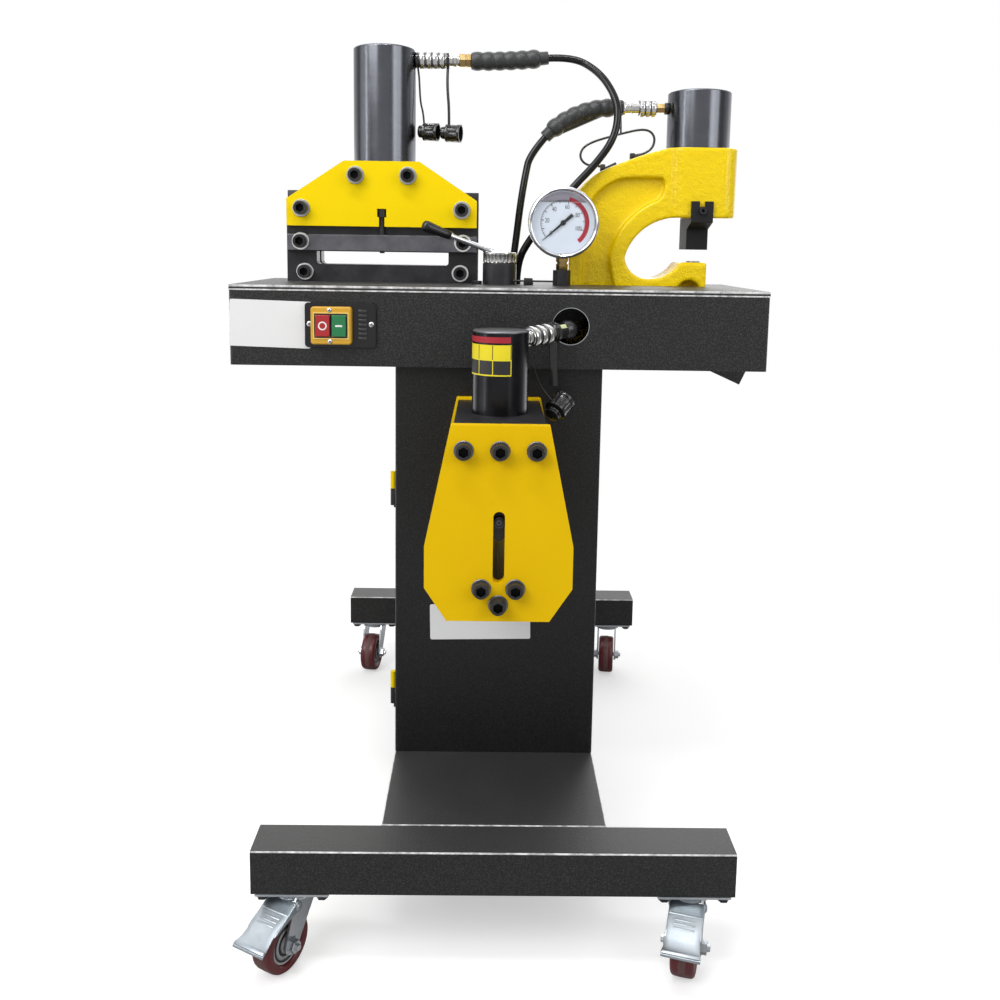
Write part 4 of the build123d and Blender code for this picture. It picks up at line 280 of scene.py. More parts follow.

# %% [markdown]
# ## Powder coat
# The bench is black powder coat of the coarse kind: baked grains of one to two millimetres that break
# every highlight into specks. Two noises give the grain, flecks lift its colour, and a slow noise changes
# the gloss. Faces that look upwards are mixed towards grey: partly dust, partly painted light from above.
# The column takes a darker copy of the coat as painted shade, and the upper edges take a pale painted edge
# highlight.


# %% Black powder coat
def powder(name, deep, fleck):
    made = Finish(name, specular_ior_level=0.42)
    grain = 0.65 * made.noise(520, 2, 0.55) + 0.35 * made.noise(1300, 2, 0.5)
    cloud = made.noise(7, 4, 0.6)
    specks = made.ramp(made.noise(500, 3, 0.65), (0.46, 0.0), (0.7, 1.0))
    # Faces that look upwards are mixed towards grey: partly dust, partly painted light from above.
    skyward = made.node("ShaderNodeSeparateXYZ", {},
                        {0: made.node("ShaderNodeNewGeometry", {}, {}, "Normal")}, 2)
    dust_and_top_light = made.ramp(skyward, (0.8, 0.0), (0.97, 1.0)) * (0.5 + 0.7 * cloud)
    dark = made.mix(specks, rgb(deep, deep, deep), rgb(fleck, fleck, fleck))
    made.colour(made.mix(dust_and_top_light * 0.3, dark, rgb(0.10, 0.10, 0.10)))
    made.rough(0.33 + 0.14 * cloud)
    made.bump(grain, 0.6, 0.0011)
    return made


coat = powder("black_powder_coat", 0.005, 0.042)
# A darker copy of the coat for the column: painted shade.
shaded_coat = powder("shaded_powder_coat", 0.002, 0.018)
# A pale grey for upper edges, broken up by noise: a painted edge highlight.
edge_highlight = Finish("coat_edge_highlight", specular_ior_level=0.5)
highlight_patches = edge_highlight.ramp(edge_highlight.noise(90, 4, 0.65), (0.38, 0.0), (0.62, 1.0))
edge_highlight.colour(edge_highlight.mix(highlight_patches, rgb(0.34, 0.34, 0.34), rgb(0.82, 0.82, 0.82)))
edge_highlight.rough(0.34 - 0.1 * highlight_patches)
print("powder coat", coat.material.name)

# %% [markdown]
# ## Yellow paint
# The tool plates carry a smooth signal yellow with a faint orange peel, and the punch is a sand casting
# under the same paint, so its skin is lumpy. One function makes both: the tone, the height of the skin
# and the gloss differ. The bender's plates take a darker copy of the plate yellow as painted shade, and
# the rounded plate edges a pale yellow as a painted edge highlight.


# %% Yellow paint on plate and on casting
def yellow_paint(name, light, lumps, depth, rough, shine, lacquer=0.0):
    paint = Finish(name, specular_ior_level=shine, coat_weight=lacquer, coat_roughness=0.05)
    tone = paint.noise(9, 3, 0.55)
    scuff = paint.ramp(paint.noise(160, 4, 0.7), (0.66, 0.0), (0.74, 1.0))
    deep = rgb(light[0] * 0.94, light[1] * 0.9, light[2] * 0.9)
    paint.colour(paint.mix(scuff * 0.18, paint.mix(tone, deep, rgb(*light)), rgb(0.55, 0.37, 0.012)))
    paint.rough(rough + 0.12 * tone + 0.1 * scuff)
    skin = 0.7 * paint.noise(lumps, 2, 0.5) + 0.3 * paint.noise(lumps * 4, 2, 0.5)
    paint.bump(skin, 0.5, depth)
    return paint


plate_yellow = yellow_paint("yellow_plate_paint", (0.92, 0.68, 0.002), 260, 0.0004, 0.36, 0.09)
# A darker copy of the plate yellow for the bender's plates: painted shade.
shaded_plate_yellow = yellow_paint("shaded_plate_paint", (0.83, 0.535, 0.002), 260, 0.0004, 0.36, 0.09)
cast_yellow = yellow_paint("yellow_cast_paint", (0.9, 0.655, 0.002), 120, 0.006, 0.12, 0.08, 0.45)
# A pale yellow for the rounded plate edges: a painted edge highlight.
yellow_edge_highlight = yellow_paint("plate_edge_highlight", (0.95, 0.83, 0.36), 260, 0.0004, 0.3, 0.3)
print("yellow paints", plate_yellow.material.name, cast_yellow.material.name)

# %% [markdown]
# ## Bare and plated steel
# The metals differ in colour, in roughness and in the way of their scratches. The tooling is black oxide,
# the cylinders are blued or blackened, the clamping bar is ground, the casters are zinc plated and their
# pedals passivated, the couplers nickel plated, the gauge and lever chromed, and the hose adapters are
# brass. Stretching a noise along one axis turns it into the lines of a grinding wheel.


# %% Metals
def metal(name, colour, worn, rough, lines=(300, 300, 300), depth=0.0001, metallic=1.0):
    made = Finish(name, metallic=metallic)
    stretch = made.node("ShaderNodeMapping", {}, {"Vector": made.place(), "Scale": lines})
    scratch = made.noise(1.0, 4, 0.6, stretch)
    patch = made.noise(35, 4, 0.6)
    made.colour(made.mix(made.ramp(patch, (0.35, 0.0), (0.75, 1.0)), rgb(*colour), rgb(*worn)))
    made.rough(rough + 0.12 * scratch + 0.08 * patch)
    made.bump(scratch, 0.25, depth)
    return made


oxide = metal("black_oxide_steel", (0.016, 0.016, 0.018), (0.04, 0.04, 0.044), 0.3, metallic=0.35)
blued = metal("blued_cylinder", (0.128, 0.134, 0.152), (0.145, 0.151, 0.168), 0.1, (60, 60, 300), 0.00003)
blackened = metal("blackened_cylinder", (0.026, 0.026, 0.029), (0.036, 0.036, 0.039), 0.14, (60, 60, 300),
                  0.00003)
ground = metal("ground_steel", (0.13, 0.13, 0.145), (0.20, 0.20, 0.22), 0.28, (30, 900, 900))
tool_steel = metal("tool_steel", (0.3, 0.3, 0.32), (0.42, 0.42, 0.44), 0.26, (900, 900, 40))
zinc = metal("bright_zinc", (0.50, 0.53, 0.56), (0.62, 0.645, 0.67), 0.2, (200, 200, 200))
passivated = metal("passivated_zinc", (0.32, 0.355, 0.39), (0.43, 0.465, 0.495), 0.3, (200, 200, 200))
# A darker zinc for the steep upper part of the brake pedals: painted shade.
pedal_shade = metal("pedal_shade_zinc", (0.13, 0.155, 0.175), (0.22, 0.25, 0.27), 0.3, (200, 200, 200))
bright_zinc = metal("new_washer", (0.84, 0.84, 0.83), (0.94, 0.94, 0.93), 0.12)
nickel = metal("nickel_coupler", (0.54, 0.54, 0.53), (0.66, 0.66, 0.65), 0.08, depth=0.00003)
chrome = metal("polished_chrome", (0.58, 0.59, 0.61), (0.66, 0.67, 0.69), 0.06, depth=0.00002)
brass = metal("turned_brass", (0.36, 0.25, 0.10), (0.47, 0.34, 0.16), 0.2)
cast_grey = metal("cast_motor_grey", (0.30, 0.32, 0.34), (0.36, 0.38, 0.40), 0.42, metallic=0.5)
print("metals", len([m for m in bpy.data.materials if m.users]))

# %% [markdown]
# ## Rubber, plastic, glass and paper
# The hoses are smooth extruded rubber and shine softly, the sleeves and caps are moulded and duller. The
# caster treads are wine-red polyurethane. The switch is injection-moulded plastic with a spark-eroded
# grain, the gauge has a clear window, and the blank stickers are white vinyl.


# %% Soft and clear finishes
def moulded(name, colour, other, rough, grain=900, depth=0.00012, vary=0.14, **fixed):
    made = Finish(name, **fixed)
    patch = made.noise(28, 4, 0.6)
    made.colour(made.mix(patch, rgb(*colour), rgb(*other)))
    skin = made.noise(grain, 2, 0.5)
    made.rough(rough + vary * patch + 0.05 * skin)
    made.bump(skin, 0.3, depth)
    return made


hose_rubber = moulded("hose_rubber", (0.003, 0.003, 0.0035), (0.006, 0.006, 0.007), 0.03, vary=0.04,
                      specular_ior_level=0.36)
sleeve_rubber = moulded("sleeve_rubber", (0.014, 0.015, 0.016), (0.034, 0.035, 0.036), 0.36, 260, 0.0006)
cap_rubber = moulded("cap_rubber", (0.009, 0.009, 0.010), (0.018, 0.018, 0.019), 0.1, 600, vary=0.08,
                     specular_ior_level=0.6)
forged_black = moulded("forged_black", (0.012, 0.012, 0.013), (0.024, 0.024, 0.025), 0.5, 500, 0.0003,
                       specular_ior_level=0.15)
wheel_red = moulded("wheel_polyurethane", (0.075, 0.005, 0.008), (0.13, 0.012, 0.016), 0.24, 300)
worn_tread = moulded("worn_tread", (0.085, 0.022, 0.022), (0.15, 0.085, 0.075), 0.5, 500)
hub_grey = moulded("hub_grey", (0.30, 0.31, 0.32), (0.42, 0.43, 0.44), 0.35, 500)
black_plastic = moulded("black_plastic", (0.010, 0.010, 0.011), (0.018, 0.018, 0.019), 0.26, 1600)
gloss_black = moulded("gloss_black", (0.006, 0.006, 0.007), (0.010, 0.010, 0.011), 0.08, 1200, 0.00004)
# A lighter grey plastic for the switch's ribs: a painted highlight.
rib_highlight_plastic = moulded("rib_highlight_plastic", (0.030, 0.030, 0.032), (0.045, 0.045, 0.047), 0.14, 1200, 0.00004)
yellow_plastic = moulded("yellow_plastic", (0.60, 0.32, 0.020), (0.68, 0.38, 0.030), 0.28, 1200)
# A paler copy of the bezel yellow for the switch's raised lip: a painted highlight.
lip_highlight_plastic = moulded("lip_highlight_plastic", (0.84, 0.60, 0.15), (0.88, 0.66, 0.20), 0.2, 1200)
red_plastic = moulded("red_plastic", (0.36, 0.016, 0.020), (0.43, 0.024, 0.028), 0.24, 1200)
green_plastic = moulded("green_plastic", (0.014, 0.165, 0.055), (0.02, 0.20, 0.07), 0.24, 1200)
pale_tag = moulded("pale_tag", (0.60, 0.66, 0.34), (0.66, 0.70, 0.40), 0.4, 800)
white_mark = moulded("white_mark", (0.80, 0.80, 0.78), (0.84, 0.84, 0.82), 0.4, 1200)
red_mark = moulded("red_mark", (0.33, 0.008, 0.020), (0.39, 0.012, 0.026), 0.4, 1200)
yellow_mark = moulded("yellow_mark", (0.80, 0.66, 0.01), (0.86, 0.72, 0.014), 0.36, 1200)
# A near black for the insides of screw sockets: painted shade.
socket_shade_black = moulded("socket_shade_black", (0.002, 0.002, 0.002), (0.004, 0.004, 0.004), 0.4, 600,
                    specular_ior_level=0.1)
black_mark = moulded("black_mark", (0.01, 0.01, 0.01), (0.016, 0.016, 0.016), 0.4, 1200)
dial_white = moulded("dial_white", (0.68, 0.745, 0.84), (0.72, 0.78, 0.87), 0.4, 600)
# A darker dial colour for the part above the oil: painted shade.
dial_shade_above_oil = moulded("dial_shade_above_oil", (0.36, 0.34, 0.41), (0.40, 0.38, 0.45), 0.4, 600)
vinyl = moulded("white_vinyl", (0.76, 0.765, 0.77), (0.80, 0.80, 0.80), 0.32, 240, 0.0003)
glass = moulded("gauge_glass", (0.97, 0.975, 0.98), (0.98, 0.985, 0.99), 0.0, 40, 0.0, 0.006,
                transmission_weight=1.0, ior=1.14)
print("soft finishes ready")


# %% [markdown]
# ## Tools of the bench
# A few helpers do most of the modelling. One rounds the edges of a copy of a solid, because real plate
# has no perfectly sharp edge and the thin bright line along it is what makes it read as steel. One turns
# a profile round an axis, as a lathe does. One folds a strip of sheet, and one stamps copies of a
# finished part.


# %% Helpers for choosing and finishing
def only(*pieces):
    """Selects these pieces and nothing else."""
    bpy.ops.object.select_all(action="DESELECT")
    for piece in pieces:
        piece.select_set(True)
    bpy.context.view_layer.objects.active = pieces[0]


def pick(piece, test, kind="VERT"):
    """In edit mode, selects the vertices, edges or faces that pass a test."""
    bpy.ops.mesh.select_mode(type=kind)
    bpy.ops.mesh.select_all(action="DESELECT")
    mesh = bmesh.from_edit_mesh(piece.data)
    for item in {"VERT": mesh.verts, "EDGE": mesh.edges, "FACE": mesh.faces}[kind]:
        item.select_set(bool(test(item)))
    mesh.select_flush_mode()
    bmesh.update_edit_mesh(piece.data)


def modify(piece, kind, **settings):
    """Adds a modifier with its settings and applies it."""
    only(piece)
    modifier = piece.modifiers.new(kind.lower(), kind)
    for key, value in settings.items():
        setattr(modifier, key, value)
    bpy.ops.object.modifier_apply(modifier=modifier.name)


def smooth(piece, angle=38):
    only(piece)
    bpy.ops.object.shade_smooth_by_angle(angle=radians(angle))


def applied(piece):
    """Sets the place, turn and scale of a piece into its mesh."""
    only(piece)
    bpy.ops.object.transform_apply(location=True, rotation=True, scale=True)


def joined(*pieces):
    only(*pieces)
    bpy.ops.object.join()
    return pieces[0]


def dress(piece, finish, body, slot, *replaced):
    """Gives a piece its finish and its body, and hides the nodes that it stands for. Its slot is not used.
    """
    piece.data.materials.clear()
    piece.data.materials.append(finish.material)
    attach(piece, body)
    if replaced:
        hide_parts(*replaced)
    return piece


print("choosing helpers ready")


# %% Helpers for solids, lathe and sheet
def copied(node):
    """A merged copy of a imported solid, free of its body."""
    source = NODES[node]
    only(source)
    bpy.ops.object.duplicate()
    piece = bpy.context.object
    piece.parent = None
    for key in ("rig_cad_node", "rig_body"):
        del piece[key]
    only(piece)
    bpy.ops.object.mode_set(mode="EDIT")
    bpy.ops.mesh.customdata_custom_splitnormals_clear()
    bpy.ops.mesh.select_all(action="SELECT")
    bpy.ops.mesh.remove_doubles(threshold=1e-6)
    bpy.ops.mesh.dissolve_limited(angle_limit=radians(0.5))
    bpy.ops.object.mode_set(mode="OBJECT")
    return piece


def softened(node, finish, slot, width, worn=None, steep=None):
    """A solid's copy with its sharp edges rounded by width, in millimetres.

    A second finish, worn, goes on the rounded edges, or on the faces whose normal's height is within steep.
    On the coat and on the yellow plates it is a pale painted edge highlight; on the cylinders it is oxide
    on their tops.
    """
    piece = copied(node)
    piece.name = node + "_dressed"
    modify(piece, "BEVEL", limit_method="ANGLE", angle_limit=radians(40), width=width * MM, segments=2,
           miter_outer="MITER_ARC", material=1 if worn else -1)
    smooth(piece)
    modify(piece, "WEIGHTED_NORMAL", keep_sharp=True)
    dress(piece, finish, NODES[node]["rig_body"], slot, node)
    if worn:
        piece.data.materials.append(worn.material)
    if worn and steep:
        for face in piece.data.polygons:
            face.material_index = int(steep[0] < face.normal.z < steep[1])
    return piece


def set_down(piece, base, way=(0, 0, 1)):
    """Turns a piece modelled along +Z to run along way from base, and applies that to its mesh."""
    turn = Vector(way).to_track_quat("Z", "Y").to_matrix().to_4x4()
    piece.matrix_world = Matrix.Translation(base) @ turn
    applied(piece)


def plane(name, size=1):
    bpy.ops.object.select_all(action="DESELECT")
    bpy.ops.mesh.primitive_plane_add(size=size, location=(0, 0, 0))
    piece = bpy.context.object
    piece.name = name
    return piece


def cube(name):
    bpy.ops.object.select_all(action="DESELECT")
    bpy.ops.mesh.primitive_cube_add(size=1, location=(0, 0, 0))
    piece = bpy.context.object
    piece.name = name
    return piece


def seed(name):
    """A new piece of one vertex at the origin, left in edit mode with that vertex selected."""
    piece = plane(name, MM)
    bpy.ops.object.mode_set(mode="EDIT")
    bpy.ops.mesh.select_all(action="SELECT")
    bpy.ops.mesh.merge(type="CENTER")
    return piece


def draw(places):
    """In edit mode, draws a line of edges through places in millimetres, from the one vertex there is."""
    bpy.ops.transform.translate(value=[part * MM for part in places[0]])
    for here, there in zip(places, places[1:]):
        step = [(after - before) * MM for before, after in zip(here, there)]
        bpy.ops.mesh.extrude_vertices_move(TRANSFORM_OT_translate={"value": step})


def turned(name, profile, base, way=(0, 0, 1), steps=48, sweep=360.0):
    """A lathe part: (radius, height) points in millimetres, spun round the line from base along way."""
    piece = seed(name)
    draw([(radius, 0, height) for radius, height in profile])
    bpy.ops.mesh.select_all(action="SELECT")
    bpy.ops.mesh.spin(steps=steps, angle=radians(sweep), center=(0, 0, 0), axis=(0, 0, 1))
    bpy.ops.mesh.select_all(action="SELECT")
    bpy.ops.mesh.remove_doubles(threshold=1e-6)
    bpy.ops.mesh.normals_make_consistent(inside=False)
    bpy.ops.object.mode_set(mode="OBJECT")
    set_down(piece, base, way)
    smooth(piece)
    return piece


def flute(piece, base, way, low, high, radius, share, count):
    """Pulls every second line of a turned part inwards between two heights: a knurl or a row of flutes."""
    stand = Matrix.Translation(base) @ Vector(way).to_track_quat("Z", "Y").to_matrix().to_4x4()
    piece.matrix_world = stand.inverted()
    applied(piece)

    def inner(vertex):
        x, y, z = vertex.co / MM
        if not low < z < high or x * x + y * y < radius * radius:
            return False
        turn = atan2(y, x) / (2 * pi) * count
        return abs(turn - round(turn)) < 0.25

    bpy.ops.object.mode_set(mode="EDIT")
    pick(piece, inner)
    bpy.ops.transform.resize(value=(share, share, 1), center_override=(0, 0, 0))
    bpy.ops.object.mode_set(mode="OBJECT")
    set_down(piece, base, way)


def slab(name, size, centre, edge=0.3, frame_turn=None):
    """A block of a size in millimetres about a place in millimetres, with rounded edges."""
    piece = cube(name)
    piece.scale = Vector(size) * MM
    applied(piece)
    modify(piece, "BEVEL", width=edge * MM, segments=2, limit_method="NONE")
    smooth(piece)
    piece.matrix_world = Matrix.Translation(spot(*centre)) @ (frame_turn or Matrix()).to_4x4()
    applied(piece)
    return piece


def folded(name, rows, sheet, strips=6):
    """A strip of sheet through (y, z, width) rows in millimetres, standing about x = 0."""
    piece = seed(name)
    draw([(-0.5, y, z) for y, z, width in rows])
    bpy.ops.mesh.select_all(action="SELECT")
    for _ in range(strips):
        bpy.ops.mesh.extrude_edges_move(TRANSFORM_OT_translate={"value": (MM / strips, 0, 0)})
    for y, z, width in rows:
        pick(piece, lambda vertex: abs(vertex.co.y / MM - y) < 0.01 and abs(vertex.co.z / MM - z) < 0.01)
        bpy.ops.transform.resize(value=(width, 1, 1), center_override=(0, 0, 0))
    bpy.ops.mesh.select_all(action="SELECT")
    bpy.ops.mesh.normals_make_consistent(inside=False)
    bpy.ops.object.mode_set(mode="OBJECT")
    modify(piece, "SOLIDIFY", thickness=sheet * MM, offset=0.0)
    modify(piece, "BEVEL", limit_method="ANGLE", angle_limit=radians(60), width=0.5 * MM, segments=2)
    smooth(piece, 24)
    return piece


def stamped(piece, places):
    """Copies of a part, each moved by a vector in metres, joined to it as one piece."""
    copies = []
    for move in places:
        only(piece)
        bpy.ops.object.duplicate()
        twin = bpy.context.object
        twin.location = move
        applied(twin)
        copies.append(twin)
    name = piece.name
    bpy.data.objects.remove(piece)
    whole = joined(*copies) if len(copies) > 1 else copies[0]
    whole.name = name
    return whole


def nurbs(name, route, order, resolution):
    """A curve in the scene with its control points at places in millimetres."""
    line = bpy.data.curves.new(name, "CURVE")
    line.dimensions = "3D"
    line.resolution_u = resolution
    spline = line.splines.new("NURBS")
    spline.points.add(len(route) - 1)
    for point, place in zip(spline.points, route):
        point.co = (*spot(*place), 1)
    spline.order_u = order
    spline.use_endpoint_u = True
    piece = bpy.data.objects.new(name, line)
    bpy.context.scene.collection.objects.link(piece)
    return piece


def thickened(piece, radius, resolution):
    """Gives a curve a round section with closed ends."""
    piece.data.bevel_depth = radius
    piece.data.bevel_resolution = resolution
    piece.data.use_fill_caps = True


def strap(name, route, radius):
    """A rubber string through points in millimetres."""
    piece = nurbs(name, route, 3, 12)
    thickened(piece, radius * MM, 3)
    only(piece)
    bpy.ops.object.convert(target="MESH")
    return bpy.context.object


print("modelling helpers ready")

# %% [markdown]
# ## Plates, beams and sheet metal
# The solids already have the right shape. Each visible one is copied, its triangles are merged, and its
# sharp edges are rounded by half a millimetre to two millimetres, according to how the real part was
# made: a laser cut plate is crisp, a folded sheet is rounder.

# %% Round the edges of the bench
# On the beams, spine and table the faces that slope upwards take the pale painted edge highlight.
for node, width in (("base_beams", 1.7), ("base_spine", 1.2), ("table", 1.1)):
    softened(node, coat, "black_paint", width, edge_highlight, (0.3, 0.93))
# The column takes the darker copy of the coat: painted shade.
softened("column", shaded_coat, "black_paint", 0.8)
softened("slug_chute", coat, "black_paint", 0.5)
softened("column_door", plate_yellow, "yellow_paint", 0.6)
softened("door_hinges", coat, "black_steel", 0.6)
softened("door_latch", black_plastic, "black_plastic", 1.0)
softened("oil_tank", coat, "black_paint", 1.0)
softened("motor", cast_grey, "motor_grey", 0.8)
HOSE_HOLE = spot(97, 230, 790)
# A thin bright zinc ring round the hose hole: a painted rim highlight.
edge = turned("hose_hole_edge", [(24.95, 0), (25.7, 0), (25.7, 0.2), (24.95, 0.2), (24.95, 0)], HOSE_HOLE,
              (0, -1, 0), 64)
dress(edge, zinc, "machine", "black_paint")
table_low, table_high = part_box("table")
across = (table_high.x - table_low.x) / MM
seam_at = (Vector(((table_low.x + table_high.x) / 2, table_low.y, table_high.z)) - MIDDLE) / MM
# Strips along the table's front: a pale painted highlight on the lid's edge, the dark seam under the lid,
# and a pale painted highlight on the apron's top edge.
for name, tall, drop, finish in (("table_lid_edge", 2.8, 1.6, edge_highlight),
                                 ("table_lid_seam", 2.6, 4.4, black_mark),
                                 ("apron_worn_edge", 1.9, 6.7, edge_highlight)):
    line = slab(name, (across - 1, 0.4, tall), seam_at - Vector((0, 0, drop)), 0.15)
    dress(line, finish, "machine", "black_paint")
print("bench softened")

# %% Round the edges of the tools
# The rounded plate edges take the pale painted edge highlight.
softened("cutter_head_plates", plate_yellow, "yellow_paint", 1.1, yellow_edge_highlight)
# The bender's plates take the darker copy of the yellow: painted shade.
for node in ("bender_front_plate", "bender_rear_plate"):
    softened(node, shaded_plate_yellow, "yellow_paint", 1.3, yellow_edge_highlight)
for node, width in (("cutter_body", 0.8), ("cutter_hold_screw", 0.5), ("bender_head_block", 0.8),
                    ("bender_die", 0.8), ("gauge_nut", 0.8), ("valve_body", 0.6), ("hex_bolts", 0.5)):
    softened(node, oxide, "black_steel", width)
UPWARDS = (0.9, 1.1)
for node in ("cutter_cylinder", "punch_cylinder"):
    softened(node, blued, "black_steel", 0.8, oxide, UPWARDS)
softened("bender_cylinder", blackened, "black_steel", 0.8, oxide, UPWARDS)
softened("cutter_hold_bar", ground, "grey_steel", 0.7)
for node in ("cutter_blade", "cutter_bed_blade", "punch_die"):
    softened(node, tool_steel, "grey_steel", 0.5)
softened("punch_ram", forged_black, "grey_steel", 0.5)
softened("punch_stripper", forged_black, "black_steel", 0.6)
softened("caster_plates", zinc, "zinc_steel", 0.5)
body_low, body_high = [(corner - MIDDLE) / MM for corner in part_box("cutter_body")]
shoulders = joined(*[slab("cutter_shoulders", (34, 10, 29), (x, 414, body_high.z - 57.5), 1.0)
                     for x in (body_low.x + 17, body_high.x - 17)])
dress(shoulders, oxide, "machine", "black_steel")
print("tools softened")

# %% [markdown]
# ## The guide screw of the bender
# A screw in the slot of the front plate keeps the bender's ram from turning. It lies below the face of
# the plate, so its head is drawn in on a copy of the ram, and a ring marks its socket.

# %% Ram and guide screw
GUIDE = spot(0, 15, 571)
ram = softened("bender_ram", oxide, "grey_steel", 0.5)
bpy.ops.object.mode_set(mode="EDIT")
pick(ram, lambda vertex: vertex.co.y < GUIDE.y)
bpy.ops.transform.resize(value=(0.56, 1, 0.56), center_override=GUIDE)
bpy.ops.transform.translate(value=(0, 11 * MM, 0))
bpy.ops.object.mode_set(mode="OBJECT")
socket = turned("guide_screw_socket", [(2.4, 0), (3.3, 0), (3.3, 0.3), (2.4, 0.3), (2.4, 0)],
                GUIDE + Vector((0, 3.7 * MM, 0)), (0, -1, 0), 6)
dress(socket, ground, "bend_ram", "grey_steel")
print("ram", tuple(round(v, 3) for v in ram.dimensions))

# %% [markdown]
# ## The cast punch frame
# Sand castings have no sharp corner anywhere: the pattern needs draft and fillets. Bevelling each edge
# would miss the inner corners, so the copy is rebuilt from small voxels and then relaxed, which rounds
# inner and outer corners alike.

# %% Casting of the punch
casting = copied("punch_frame")
casting.name = "punch_casting"
modify(casting, "REMESH", mode="VOXEL", voxel_size=2.2 * MM, adaptivity=0.0)
modify(casting, "SMOOTH", factor=0.5, iterations=7)
smooth(casting, 60)
dress(casting, cast_yellow, "machine", "yellow_paint", "punch_frame")
print("casting", len(casting.data.polygons), "faces")

# %% [markdown]
# ## Hoses
# Each hose is one smooth curve through the air, from the manifold under the table to its coupler. The
# route's points are the control points of a NURBS curve, which bends evenly and never kinks, as a stiff
# rubber hose does.

# %% Three oil hoses
HOSE_DIAMETER = 11.5 * MM
ROUTES = {
    "hose_cutter": [(27, 412, 838), (27, 412, 874), (46, 400, 910), (78, 392, 949), (110, 390, 989),
                    (140, 390, 1020), (166, 394, 1055), (174.5, 398, 1088), (171.5, 407, 1121),
                    (145.7, 420, 1161.3), (102.5, 435, 1185.5), (54.8, 435, 1180)],
    "hose_punch": [(21, 432, 838), (21, 432, 874), (26, 434, 914), (31, 436, 960), (38, 438, 1006),
                   (45.2, 440, 1040.4), (77.6, 440, 1075.8)],
    "hose_bender": [(128, 330, 797), (128, 290, 797), (118.8, 251.9, 789.5), (93.55, 226.5, 786.3)],
}
hoses, lengths = {}, {}
for node, route in ROUTES.items():
    hose = nurbs(node + "_rubber", route, 3, 12)
    lengths[node] = round(hose.data.splines[0].calc_length(resolution=64), 3)
    thickened(hose, HOSE_DIAMETER / 2, 6)
    hoses[node] = dress(hose, hose_rubber, "machine", "black_rubber", node)
print("hoses", lengths)

# %% [markdown]
# ## Bend guards
# A moulded sleeve of six soft beads and a plain cuff keeps each upper hose from kinking at its ferrule.
# The sleeve is turned straight, and a Curve modifier lays it along its arc: the cutter's rises a little
# and the punch's hangs down.

# %% Beaded sleeves
BEADS, SLEEVE, CUFF = 6, 117.0, 15.0
ARC_STEPS = 16


def beaded_sleeve(name, node, start, side, rise):
    """A sleeve that leaves its coupler along side * X and turns up by rise degrees on its way."""
    profile = [(6.3, 0.0), (11.6, 0.0), (12.2, 0.5)]
    pitch = (SLEEVE - CUFF) / BEADS
    for bead in range(BEADS):
        for share in (0.08, 0.18, 0.3, 0.42, 0.58, 0.7, 0.82, 0.92):
            swell = sin(pi * share) ** 0.6
            profile.append((11.5 + 2.7 * swell, 0.8 + (bead + share) * pitch))
    profile += [(11.8, SLEEVE - CUFF + 1.2), (10.3, SLEEVE - CUFF + 2.4), (10, SLEEVE - CUFF + 4),
                (9.8, SLEEVE - 1.5), (9.2, SLEEVE), (6.3, SLEEVE), (6.3, 0.0)]
    sleeve = turned(name, profile, Vector((0, 0, 0)), (1, 0, 0), 40)
    radius = SLEEVE / radians(rise)
    x, y, z = start
    turns = [radians(rise) * step / ARC_STEPS for step in range(ARC_STEPS + 1)]
    route = [(x + side * radius * sin(turn), y, z + radius * (1 - cos(turn))) for turn in turns]
    arc_path = nurbs(name + "_arc", route, 4, 16)
    modify(sleeve, "CURVE", object=arc_path, deform_axis="POS_X")
    bpy.data.objects.remove(arc_path)
    return dress(sleeve, sleeve_rubber, "machine", "black_rubber", node)


sleeve_a = beaded_sleeve("sleeve_cutter", "guard_cutter", (-47, 435, 1175), 1, 6.6)
sleeve_b = beaded_sleeve("sleeve_punch", "guard_punch", (171.5, 440, 1110.5), -1, -47.5)
print("sleeves", [tuple(round(v, 3) for v in p.dimensions) for p in (sleeve_a, sleeve_b)])

# %% [markdown]
# ## Quick couplers
# A coupler is a row of turned steps: a black adapter screwed into the cylinder, the sleeve that is pulled
# back by hand, a slender body and the ferrule of the hose. Rings or a knurl on the sleeve let oily
# fingers hold it.


# %% Couplers
def ringed(low, high, radius, count):
    """Profile of a sleeve with rounded rings and narrow grooves between two places on its axis."""
    pitch = (high - low) / count
    profile = [(radius - 3, low)]
    for ring in range(count):
        for share, drop in ((0.1, 2.6), (0.16, 0.7), (0.28, 0.0), (0.72, 0.0), (0.84, 0.7), (0.9, 2.6)):
            profile.append((radius - drop, low + (ring + share) * pitch))
    return profile + [(radius - 3, high)]


def oily(piece, base, way, low, high, radius):
    """Gives the grooves of a turned part, its faces between two heights and inside a radius, a darker
    steel.
    """
    piece.data.materials.append(ground.material)
    way = Vector(way).normalized()
    for face in piece.data.polygons:
        reach = face.center - base
        along = reach.dot(way)
        out = (reach - way * along).length
        face.material_index = int(low < along / MM < high and out < radius * MM)


cutter_port, punch_port = spot(-131, 435, 1175), spot(255.5, 440, 1110.5)
port_way = Vector((97, 97.5, 12)).normalized()
bender_port = spot(26.1, 158.73, 778)
profile_a = [(0, 5), (10, 5)] + ringed(5, 45, 14.5, 4)
profile_a += [(9, 45.4), (9, 56), (9.9, 57), (9.9, 62), (9, 63), (9, 66), (0, 66)]
steel_a = turned("coupler_cutter_body", profile_a, cutter_port, (1, 0, 0), 64)
dress(steel_a, nickel, "machine", "zinc_steel", "coupler_cutter")
oily(steel_a, cutter_port, (1, 0, 0), 6, 45.2, 13.4)
nut_a = turned("coupler_cutter_nut", [(0, 65.8), (9.4, 65.8), (10.9, 67), (10.9, 75), (10, 75.6), (10, 77),
                                      (10.9, 77.6), (10.9, 83), (9.6, 84), (0, 84)],
               cutter_port, (1, 0, 0), 6)
